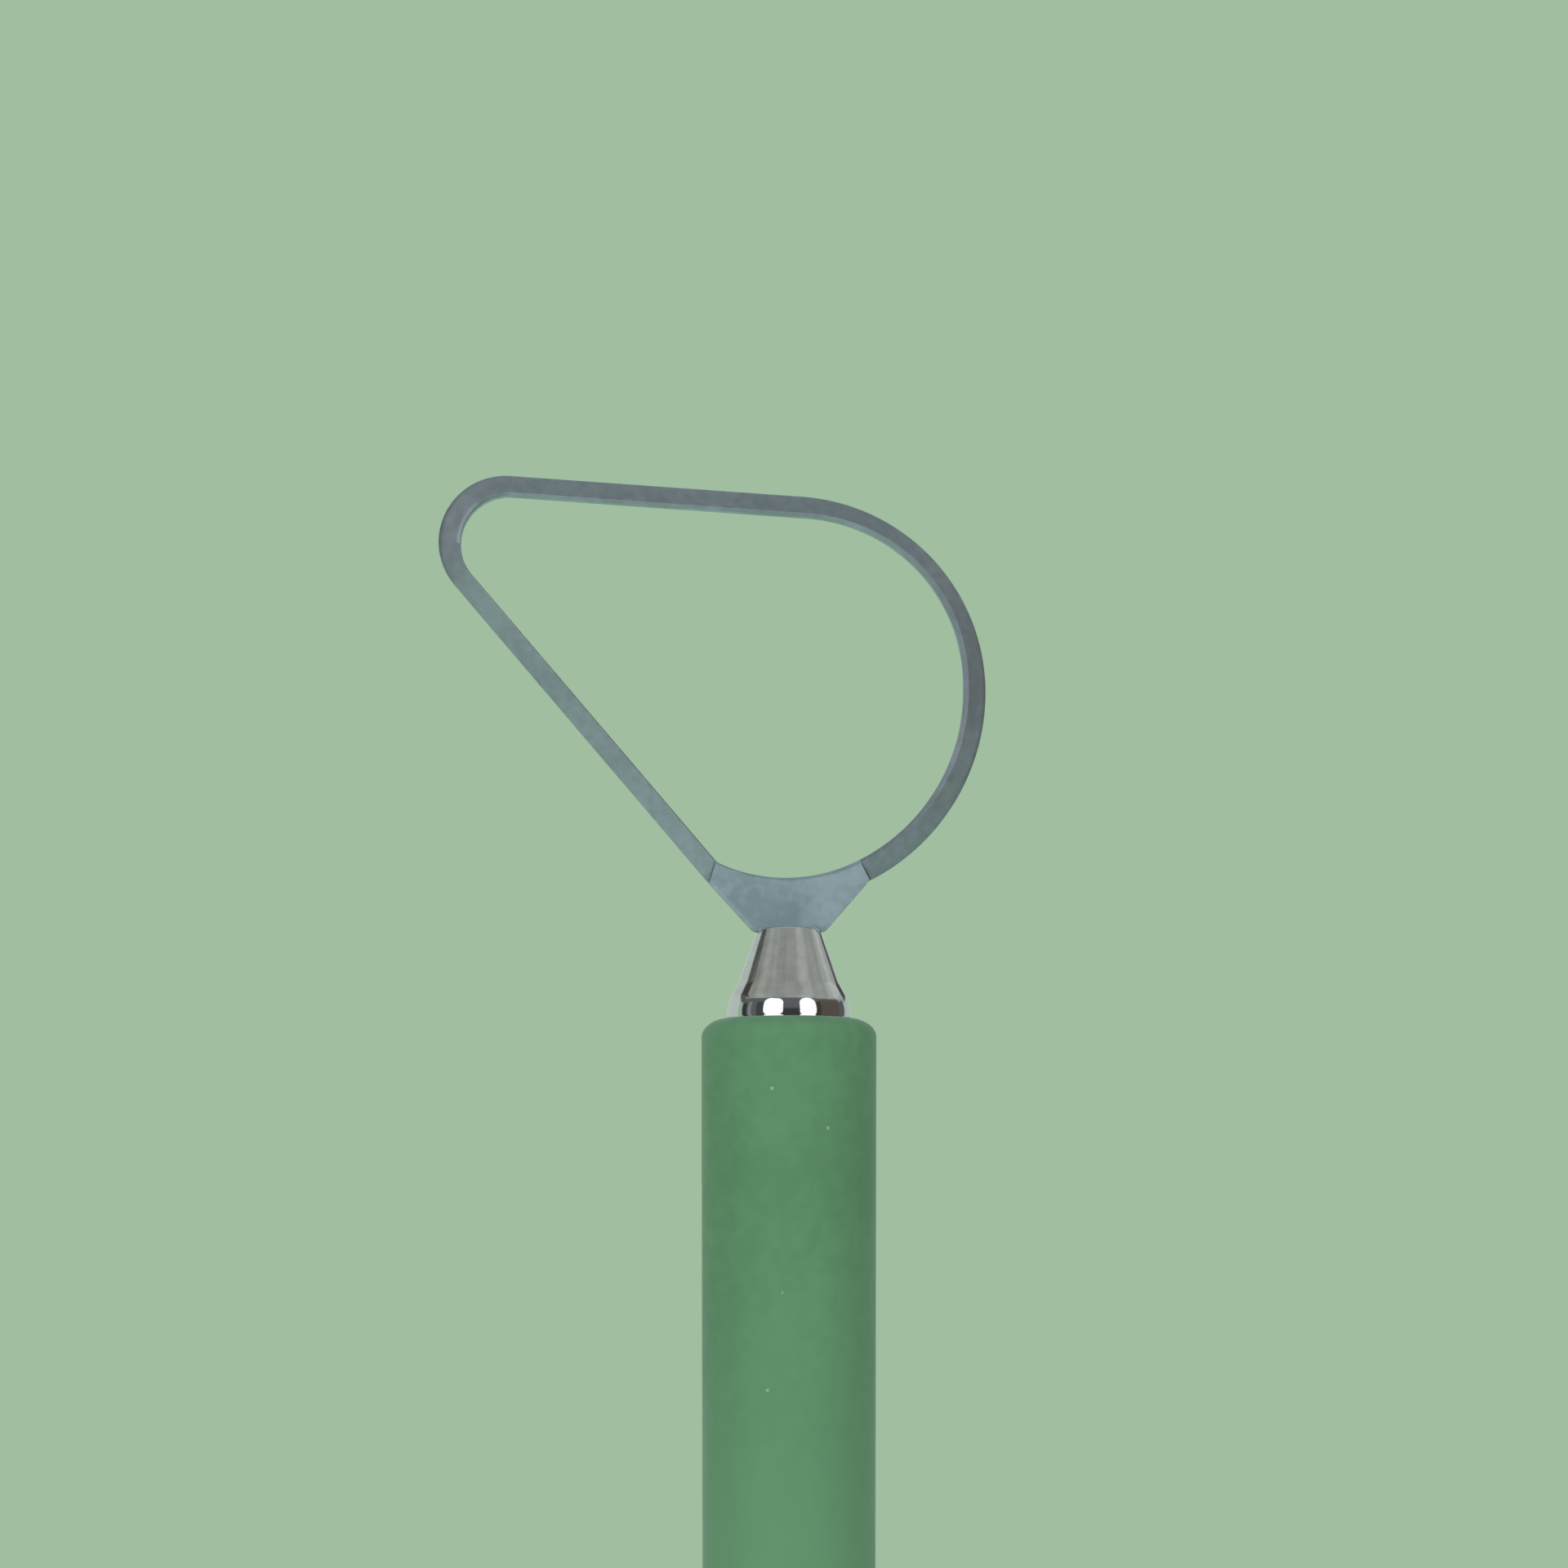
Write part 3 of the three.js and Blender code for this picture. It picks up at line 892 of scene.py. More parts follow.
    def with_run_outs(self, outer: list[Vector], inner: list[Vector]) -> list[Station]:
        """Ends the bevel at both root corners, where the wheel lifted off in a short hollow.

        Args:
            outer: The loop's outer points, from root corner to root corner.
            inner: The opening's points beside them.

        Returns:
            The loop's stations.
        """
        steps = 7
        hollow = [1 - (1 - i / steps) ** 3 for i in range(steps)]
        middle = [Station(o, i, 1.0) for o, i in zip(outer[1:-1], inner[1:-1])]
        ends = ([], [])
        for end, here, there in zip(ends, (0, -1), (1, -2)):
            share = self.run_out / (outer[there] - outer[here]).length
            for i, ground in enumerate(hollow):
                pair = (side[here].lerp(side[there], share * i / steps) for side in (outer, inner))
                end.append(Station(*pair, ground))
        return ends[0] + middle + ends[1][::-1]

    @staticmethod
    def spread(points: list[Vector], count: int) -> list[Vector]:
        """Spreads a number of points evenly along a line of points.

        Args:
            points: The line's points.
            count: How many points there are to be.

        Returns:
            The new points, both ends included.
        """
        lengths = travelled(points)
        made = []
        at = 0
        for k in range(count):
            goal = lengths[-1] * k / (count - 1)
            while at < len(points) - 2 and lengths[at + 1] < goal:
                at += 1
            span = lengths[at + 1] - lengths[at]
            made.append(points[at].lerp(points[at + 1], (goal - lengths[at]) / span))
        return made

    @staticmethod
    def inward_normals(points: list[Vector]) -> list[Vector]:
        """Gives the normals to the left of a closed line, up to twice as long in its corners.

        Args:
            points: The line's points.

        Returns:
            A normal for each point.
        """
        least = 0.5
        normals = []
        for k, here in enumerate(points):
            before = (here - points[k - 1]).normalized()
            after = (points[(k + 1) % len(points)] - here).normalized()
            aside = Vector((-after.y, after.x))
            left = (Vector((-before.y, before.x)) + aside).normalized()
            normals.append(left / max(left.dot(aside), least))
        return normals

    def section(self, station: Station, off: Vector, into: Vector) -> list[tuple[Vector, float]]:
        """Gives the blade's cut at one station, from the back round the outer edge to the opening.

        Args:
            station: The place round the blade.
            off: The inward normal of the outer outline there.
            into: The normal of the opening there, into the steel.

        Returns:
            Points in the blade's plane, each with its depth along Y.
        """
        half = self.thickness / 2
        small = self.edge_round
        across = station.inner - station.outer
        width = across.dot(off) / off.length_squared
        relief = self.relief_width + self.relief_shift * into.x / into.length
        bevel = min(width - relief - self.ridge_flat, self.bevel_reach)
        drop = station.ground * (self.thickness - self.edge_land)
        edge = drop - half
        bulge = self.edge_bulge * small
        corner = [(small, 0.0), (bulge, bulge), (0.0, small)]
        cut = [(station.outer + off * a, half - b) for a, b in corner]
        cut += [(station.outer + off * a, edge + b) for a, b in corner[:0:-1]]
        parts = [k / self.bevel_steps for k in range(1, self.bevel_steps + 1)]
        for share in (small / bevel, *parts):
            point = station.outer + across * (share * bevel / width)
            cut.append((point, edge - drop * share))
        cut.append((station.inner + into * relief, -half))
        cut.append((station.inner, self.relief_depth - half))
        cut += [(station.inner + into * a, half - b) for a, b in corner[::-1]]
        return cut

    def band(self, steel: CarbonSteel) -> Mesh:
        """Makes the loop and the root plate as one closed band.

        Args:
            steel: The steel whose two faces it gets.

        Returns:
            The mesh, with ground faces on its second material and a map along and across the band.
        """
        stations = self.stations()
        outline = [s.outer for s in stations]
        offs = self.inward_normals(outline)
        intos = [-n for n in self.inward_normals([s.inner for s in stations])]
        points = []
        for station, off, into in zip(stations, offs, intos):
            cut = self.section(station, off, into)
            points.extend((p.x, y, p.y) for p, y in cut)
        rings = len(cut)
        count = len(stations)
        faces = []
        for k in range(count):
            here, there = k * rings, (k + 1) % count * rings
            turns = ((r, (r + 1) % rings) for r in range(rings))
            faces += [(here + r, there + r, there + after, here + after) for r, after in turns]
        mesh = mesh_of("blade_plate", points, faces)
        for face in SteelFace:
            mesh.materials.append(steel.make(face))
        grind = mesh.uv_layers.new(name="grind")
        travel = travelled(outline)
        bevel_rings = range(4, rings - 4)
        for polygon in mesh.polygons:
            corners = [v % rings for v in polygon.vertices]
            places = [v // rings for v in polygon.vertices]
            whole = all(stations[k].ground > 0.0 for k in places)
            polygon.material_index = int(whole and min(corners) in bevel_rings)
            for loop, vertex in zip(polygon.loop_indices, polygon.vertices):
                point = mesh.vertices[vertex].co
                depth = (Vector((point.x, point.z)) - outline[vertex // rings]).length
                grind.data[loop].uv = (travel[vertex // rings], depth)
        return mesh

    def build(self) -> Piece:
        """Builds the blade with its tang and pin hole, its steels on before anything is cut.

        Returns:
            The piece.
        """
        plate = new_object("blade_plate", self.band(CarbonSteel()))
        half = self.thickness / 2 - self.tang_inset
        side = self.tang_width / 2
        end = self.foot - self.tang_length
        top = self.foot + self.tang_overlap
        tang = block("tang", Vector((-side, -half, end)), Vector((side, half, top)))
        combine(plate, tang, Solid.JOINED)
        height = end + self.pin_to_tang_end
        through = 4 * self.thickness
        hole = cross_rod("hole", self.pin_hole_radius, through, height)
        combine(plate, hole, Solid.CUT_AWAY)
        return plate

    def dress(self, piece: Piece) -> None:
        """Shades the blade between its creases and hands it over."""
        smooth(piece, self.crease)
        hand_over(piece, self.node)


# Nose


@dataclass
class Nose:
    """Turned and chromed nose: slotted tip, satin cone, polished collar and hidden spigot."""

    node: str = "nose_cone"
    slot: str = "nose_chrome"
    steps: int = 192
    tip_radius: float = 2.25 * MM
    tip_rounding: float = 0.3 * MM
    foot_inset: float = 0.68 * MM
    foot_height: float = 2.3 * MM
    foot_hollow: float = 2.4 * MM
    core_radius: float = 4.15 * MM
    collar_height: float = 1.48 * MM
    collar_fullest: float = 0.4 * MM
    collar_crown_radius: float = 2.7 * MM
    collar_rounding: float = 0.3 * MM
    edge_break: float = 0.08 * MM
    clearance: float = 0.05 * MM
    spigot_radius: float = 2.95 * MM
    spigot_chamfer: float = 0.4 * MM
    recess: float = 1.0 * MM
    slot_width: float = 1.3 * MM
    slot_depth: float = 0.3 * MM
    tang_hole: float = 3.1 * MM
    pin_hole_radius: float = 0.65 * MM
    cutter_overlap: float = 1.0 * MM
    collar_steps: int = 24
    edge_steps: int = 8
    round_steps: int = 12
    crease: float = 35.0

    def collar(self, seat: float, reach: float, foot: Vector) -> tuple[list[Vector], float]:
        """Gives the collar's outline, from its underside over its barrel side to the flare.

        Args:
            seat: The height of the sleeve's top.
            reach: The collar's radius at its fullest.
            foot: The cone's foot, which the flare runs up to.

        Returns:
            Points of radius and height, and the angle of the flare's normal.
        """
        radius = self.collar_crown_radius
        centre = Vector((reach - radius, seat + self.collar_fullest))
        under = -math.asin((self.collar_fullest - self.clearance) / radius)
        crown = math.asin((self.collar_height - self.collar_fullest) / radius)
        edge = polar(centre, radius - self.collar_rounding, crown)
        flare = tangent_angle(edge, self.collar_rounding, foot, 0.0, -1)
        side = arc(centre, radius, under, crown, self.collar_steps)
        shoulder = arc(edge, self.collar_rounding, crown, flare, self.edge_steps)
        return side + shoulder[1:], flare

    def profile(self) -> list[Vector]:
        """Gives the nose's profile from the spigot's end to the tip.

        Returns:
            Points of radius and height.
        """
        low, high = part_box(self.node)
        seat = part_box("grip_sleeve")[1].z
        base = seat - self.recess
        foot = Vector((high.x - self.foot_inset, seat + self.foot_height))
        tip = Vector((self.tip_radius - self.tip_rounding, high.z - self.tip_rounding))
        lean = tangent_angle(foot, 0.0, tip, self.tip_rounding, -1)
        collar, flare = self.collar(seat, high.x, foot)
        reach = self.foot_hollow / math.cos((flare - lean) / 2)
        hollow = polar(foot, reach, (flare + lean) / 2)
        return [
            Vector((0.0, low.z)),
            Vector((self.spigot_radius - self.spigot_chamfer, low.z)),
            Vector((self.spigot_radius, low.z + self.spigot_chamfer)),
            Vector((self.spigot_radius, base)),
            Vector((self.core_radius - self.edge_break, base)),
            Vector((self.core_radius, base + self.edge_break)),
            Vector((self.core_radius, seat + self.clearance)),
            *collar,
            *arc(hollow, -self.foot_hollow, flare, lean, self.round_steps),
            *arc(tip, self.tip_rounding, lean, QUARTER_TURN, self.round_steps),
            Vector((0.0, high.z)),
        ]

    def build(self) -> Piece:
        """Builds the nose with its slot, tang hole and pin hole.

        Returns:
            The piece.
        """
        piece = new_object("nose_ferrule", turned("nose_ferrule", self.profile(), self.steps))
        low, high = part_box(self.node)
        half = self.slot_width / 2
        floor = high.z - self.slot_depth
        above = self.cutter_overlap
        top = Vector((high.x, half, high.z + above))
        slot = block("slot", Vector((-high.x, -half, floor)), top)
        side = self.tang_hole / 2
        top = Vector((side, half, floor + above))
        hole = block("hole", Vector((-side, -half, low.z - above)), top)
        pin_low, pin_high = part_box("tang_pin")
        height = (pin_low.z + pin_high.z) / 2
        through = 3 * high.x
        bore = cross_rod("bore", self.pin_hole_radius, through, height)
        for cutter in (slot, hole, bore):
            combine(piece, cutter, Solid.CUT_AWAY)
        return piece

    def dress(self, piece: Piece) -> None:
        """Gives the nose its chrome, polished on the collar alone, and hands it over.

        Args:
            piece: The nose.
        """
        collar_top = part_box("grip_sleeve")[1].z + self.collar_height
        piece.data.materials.clear()
        piece.data.materials.append(ChromedSteel("nose_chrome", collar_top).make())
        smooth(piece, self.crease)
        hand_over(piece, self.node)


# Handle


@dataclass
class Grip:
    """Silicone sleeve: straight bore, gentle taper, domed top end and softly rounded foot.

    Its shape follows a rule, so geometry nodes sweep its wall round the handle's axis.
    """

    node: str = "grip_sleeve"
    slot: str = "sleeve_silicone"
    bore_radius: float = 4.2 * MM
    top_wall: float = 1.85 * MM
    foot_wall: float = 1.45 * MM
    shoulder_height: float = 1.3 * MM
    foot_rounding: float = 0.4 * MM
    ripple: float = 0.012 * MM
    ripple_length: float = 9.0 * MM
    weld: float = 0.002 * MM
    around: int = 192
    along: int = 160
    round_steps: int = 24
    crease: float = 40.0

    def inputs(self) -> dict[str, float | int | Material]:
        """Gives the tree's inputs.

        Returns:
            A value for each input's name.
        """
        low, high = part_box(self.node)
        return {
            "Bore Radius": self.bore_radius,
            "Top Wall": self.top_wall,
            "Foot Wall": self.foot_wall,
            "Foot Height": low.z,
            "Top Height": high.z,
            "Shoulder Height": self.shoulder_height,
            "Foot Rounding": self.foot_rounding,
            "Ripple": self.ripple,
            "Ripple Length": self.ripple_length,
            "Around": self.around,
            "Along": self.along,
            "Round Steps": self.round_steps,
            "Material": MouldedSilicone().make(),
        }

    def tree(self, inputs: dict[str, float | int | Material]) -> Tree:
        """Builds the node tree that sweeps the sleeve's wall round its bore.

        Args:
            inputs: The inputs that it gets, with a value each.

        Returns:
            The tree.
        """
        tree = bpy.data.node_groups.new("swept_sleeve", "GeometryNodeTree")
        face = tree.interface
        kinds = {float: "NodeSocketFloat", int: "NodeSocketInt", Material: "NodeSocketMaterial"}
        for name, value in inputs.items():
            face.new_socket(name, in_out="INPUT", socket_type=kinds[type(value)])
        face.new_socket("Geometry", in_out="OUTPUT", socket_type="NodeSocketGeometry")
        given = add(tree, "NodeGroupInput").outputs

        def made(kind: str, **values: object) -> Socket:
            """Adds a geometry node, with its inputs' spaces as underscores."""
            named = {key.replace("_", " "): value for key, value in values.items()}
            return add(tree, f"GeometryNode{kind}", named).outputs[0]

        def at(out: object, up: object, deep: float = 0.0) -> Socket:
            """Adds a point of the wall's section, out from the bore and up."""
            return add(tree, "ShaderNodeCombineXYZ", {"X": out, "Y": up, "Z": deep}).outputs[0]

        top, foot, steps = given["Top Height"], given["Foot Height"], given["Round Steps"]
        top_wall, foot_wall = given["Top Wall"], given["Foot Wall"]
        shoulder, rounding = given["Shoulder Height"], given["Foot Rounding"]
        dome_foot = math_of(tree, "SUBTRACT", top, shoulder)
        heel_side = math_of(tree, "SUBTRACT", foot_wall, rounding)
        heel_top = math_of(tree, "ADD", foot, rounding)
        quarter = {"Resolution": steps, "Sweep_Angle": QUARTER_TURN}
        dome = made(
            "Transform",
            Geometry=made("CurveArc", Radius=1.0, **quarter),
            Translation=at(0.0, dome_foot),
            Scale=at(top_wall, shoulder, 1.0),
        )
        heel = made(
            "Transform",
            Geometry=made("CurveArc", Radius=rounding, Start_Angle=-QUARTER_TURN, **quarter),
            Translation=at(heel_side, heel_top),
        )
        side = made(
            "CurvePrimitiveLine", Start=at(foot_wall, heel_top), End=at(top_wall, dome_foot)
        )
        flank = made("ResampleCurve", Curve=side, Count=given["Along"])
        sole = made("CurvePrimitiveLine", Start=at(0.0, foot), End=at(heel_side, foot))
        bore = made("CurvePrimitiveLine", Start=at(0.0, top), End=at(0.0, foot))
        joined = add(tree, "GeometryNodeJoinGeometry")
        for part in (dome, heel, flank, sole, bore):
            tree.links.new(part, joined.inputs[0])
        wire = made("CurveToMesh", Curve=joined.outputs[0])
        welded = made("MergeByDistance", Geometry=wire, Distance=self.weld)
        outline = made("MeshToCurve", Mesh=welded)
        section = made("Transform", Geometry=outline, Scale=(1.0, -1.0, 1.0))
        circle = made(
            "CurvePrimitiveCircle", Resolution=given["Around"], Radius=given["Bore Radius"]
        )
        upright = add(tree, "GeometryNodeSetCurveNormal", {"Curve": circle}, mode="Z_UP")
        swept = made("CurveToMesh", Curve=upright.outputs["Curve"], Profile_Curve=section)
        scale = math_of(tree, "DIVIDE", 1.0, given["Ripple Length"])
        waves = noise(tree, made("InputPosition"), scale, detail=1.0)
        middle = 0.5
        swing = math_of(tree, "SUBTRACT", waves, middle)
        swell = {0: made("InputNormal"), "Scale": math_of(tree, "MULTIPLY", swing, given["Ripple"])}
        offset = add(tree, "ShaderNodeVectorMath", swell, operation="SCALE").outputs["Vector"]
        rippled = made("SetPosition", Geometry=swept, Offset=offset)
        real = made("RealizeInstances", Geometry=rippled)
        painted = made("SetMaterial", Geometry=real, Material=given["Material"])
        add(tree, "NodeGroupOutput", {"Geometry": painted})
        return tree

    def build(self) -> Piece:
        """Builds the sleeve by its node tree and turns it into a plain mesh.

        Returns:
            The piece.
        """
        inputs = self.inputs()
        piece = new_object("silicone_sleeve", bpy.data.meshes.new("silicone_sleeve"))
        sweep = piece.modifiers.new("sweep", "NODES")
        sweep.node_group = self.tree(inputs)
        for socket in sweep.node_group.interface.items_tree:
            if socket.in_out == "INPUT":
                sweep[socket.identifier] = inputs[socket.name]
        settle(piece)
        turn_outwards(piece.data)
        return piece

    def dress(self, piece: Piece) -> None:
        """Smooths the sleeve, which has its silicone from the tree, and hands it over."""
        smooth(piece, self.crease)
        hand_over(piece, self.node)


@dataclass
class ButtCap:
    """Turned and chromed plug: rounded edge, flat butt face, and a spigot inside the core."""

    node: str = "end_cap"
    slot: str = "cap_chrome"
    steps: int = 192
    edge_radius: float = 0.9 * MM
    rim_break: float = 0.15 * MM
    spigot_radius: float = 2.95 * MM
    spigot_chamfer: float = 0.4 * MM
    edge_steps: int = 16
    crease: float = 35.0

    def build(self) -> Piece:
        """Builds the cap.

        Returns:
            The piece.
        """
        low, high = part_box(self.node)
        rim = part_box("grip_sleeve")[0].z
        edge = Vector((high.x - self.edge_radius, low.z + self.edge_radius))
        profile = [
            Vector((0.0, low.z)),
            *arc(edge, self.edge_radius, -QUARTER_TURN, 0.0, self.edge_steps),
            Vector((high.x, rim - self.rim_break)),
            Vector((high.x - self.rim_break / 2, rim - self.rim_break / 3)),
            Vector((high.x - self.rim_break, rim)),
            Vector((self.spigot_radius, rim)),
            Vector((self.spigot_radius, high.z - self.spigot_chamfer)),
            Vector((self.spigot_radius - self.spigot_chamfer, high.z)),
            Vector((0.0, high.z)),
        ]
        return new_object("butt_cap", turned("butt_cap", profile, self.steps))

    def dress(self, piece: Piece) -> None:
        """Gives the cap its polished chrome and hands it over.

        Args:
            piece: The cap.
        """
        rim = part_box("grip_sleeve")[0].z
        piece.data.materials.append(ChromedSteel("butt_chrome", rim).make())
        smooth(piece, self.crease)
        hand_over(piece, self.node)


@dataclass
class HiddenParts:
    """Core tube and cross pin, which keep their CAD shape inside the handle."""

    core: str = "handle_core"
    pin: str = "tang_pin"

    def dress(self) -> None:
        """Gives both parts their drawn metal."""
        soft = Patches(1.5 * MM, 0.34, 0.42)
        bright = Patches(1.5 * MM, 0.28, 0.36)
        metals = {
            self.core: DrawnMetal("drawn_aluminium", "#b9bdbf", "#a9adaf", soft),
            self.pin: DrawnMetal("drawn_steel", "#94989a", "#83878a", bright),
        }
        for node, metal in metals.items():
            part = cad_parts[node]
            part.data.materials.clear()
            part.data.materials.append(metal.make())
            log.info("%s keeps its shape, in %s", node, metal.name)


# Studio


def direction(azimuth: float, elevation: float) -> Vector:
    """Gives a direction by its degrees, with azimuth 0 towards the camera and 90 towards +X."""
    around, up = math.radians(azimuth), math.radians(elevation)
    return Vector((math.sin(around) * math.cos(up), -math.cos(around) * math.cos(up), math.sin(up)))


def aimed(data: bpy.types.ID, focus: Vector, away: Vector, distance: float) -> Piece:
    """Makes a lamp's or a camera's object, which looks at a point.

    Args:
        data: The lamp or the camera.
        focus: The point.
        away: The direction from the point to the object.
        distance: How far off the object stands.

    Returns:
        The object.
    """
    made = new_object(data.name, data)
    made.location = focus + away * distance
    made.rotation_euler = away.to_track_quat("Z", "Y").to_euler()
    return made


def length_of(tree: Tree, vector: Socket) -> Socket:
    """Adds a vector's length."""
    return add(tree, "ShaderNodeVectorMath", {0: vector}, operation="LENGTH").outputs["Value"]


def fade_out(tree: Tree, cover: Socket, shader: Socket) -> None:
    """Ends a material's tree with a shader that fades into nothing.

    Args:
        tree: The material's tree.
        cover: 1 where the shader shows, and 0 where nothing does.
        shader: The shader.
    """
    nothing = add(tree, "ShaderNodeBsdfTransparent").outputs["BSDF"]
    mixed = add(tree, "ShaderNodeMixShader", {0: cover, 1: nothing, 2: shader})
    add(tree, "ShaderNodeOutputMaterial", {"Surface": mixed.outputs["Shader"]})


@dataclass(frozen=True)
class SoftBox:
    """A flat soft lamp that looks at the nose. Metal sees its white front as a card instead."""

    name: str
    azimuth: float
    elevation: float
    width: float
    height: float
    radiance: float
    distance: float = 0.7

    def put(self, focus: Vector) -> None:
        """Puts the lamp up.

        Args:
            focus: The point that it looks at.
        """
        data = bpy.data.lights.new(self.name, "AREA")
        data.shape = "RECTANGLE"
        data.size = self.width
        data.size_y = self.height
        data.energy = self.radiance * math.pi * self.width * self.height
        lamp = aimed(data, focus, direction(self.azimuth, self.elevation), self.distance)
        lamp.visible_camera = False
        lamp.visible_glossy = False


@dataclass(frozen=True)
class Card:
    """A curved studio card that only metal sees: a flag, a wall, a scrim or a bounce.

    Its edges fade over some degrees, so that it runs into what stands behind it, and its corners
    are at least as round. A card that leans moves sideways by some degrees for each degree of
    height. The top of an arched card drops towards the sides, as the cone's reflection does.
    """

    name: str
    azimuths: tuple[float, float]
    elevations: tuple[float, float]
    colour: str
    distance: float = 0.9
    fade: float = 1.0
    lean: float = 0.0
    corner: float = 0.0
    strength: float = 1.0
    arched: bool = False
    arch: float = 0.85
    step: float = 4.0

    def sheet(self, focus: Vector, width: float, height: float) -> Mesh:
        """Makes the card's curved mesh, with a map in degrees from its middle.

        Args:
            focus: The point that it bends round.
            width: The card's width in degrees.
            height: Its height in degrees.

        Returns:
            The mesh.
        """
        across = max(1, round(width / self.step))
        up = max(1, round(height / self.step))
        points = []
        for j in range(up + 1):
            for i in range(across + 1):
                elevation = self.elevations[0] + height * j / up
                azimuth = self.azimuths[0] + width * i / across + self.lean * height * j / up
                if self.arched and elevation > 0.0:
                    elevation *= math.cos(math.radians(azimuth / 2)) ** self.arch
                points.append(tuple(focus + direction(azimuth, elevation) * self.distance))
        row = across + 1
        starts = [j * row + i for j in range(up) for i in range(across)]
        mesh = bpy.data.meshes.new(self.name)
        mesh.from_pydata(points, [], [(s, s + 1, s + row + 1, s + row) for s in starts])
        degrees = mesh.uv_layers.new(name="degrees")
        for loop in mesh.loops:
            share = (loop.vertex_index % row / across, loop.vertex_index // row / up)
            degrees.data[loop.index].uv = ((share[0] - 0.5) * width, (share[1] - 0.5) * height)
        return mesh

    def put(self, focus: Vector) -> None:
        """Puts the card up as part of the stage.

        Args:
            focus: The point that it bends round.
        """
        width = self.azimuths[1] - self.azimuths[0]
        height = self.elevations[1] - self.elevations[0]
        mesh = self.sheet(focus, width, height)
        material, tree = new_material(self.name)
        corner = max(self.corner, self.fade)
        none = (0.0, 0.0, 0.0)
        flat = (width / 2 - corner, height / 2 - corner, 0.0)
        reach = add(tree, "ShaderNodeUVMap", uv_map="degrees").outputs["UV"]
        for operation, other in (("ABSOLUTE", none), ("SUBTRACT", flat), ("MAXIMUM", none)):
            both = {0: reach, 1: other}
            reach = add(tree, "ShaderNodeVectorMath", both, operation=operation).outputs[0]
        cover = ramp(tree, length_of(tree, reach), (corner - self.fade, corner), (1.0, 0.0))
        glow = {"Color": linear(self.colour), "Strength": self.strength}
        fade_out(tree, cover, add(tree, "ShaderNodeEmission", glow).outputs["Emission"])
        material.cycles.emission_sampling = "NONE"
        mesh.materials.append(material)
        card = new_object(self.name, mesh)
        for kind in ("camera", "diffuse", "shadow", "transmission", "volume_scatter"):
            setattr(card, f"visible_{kind}", False)


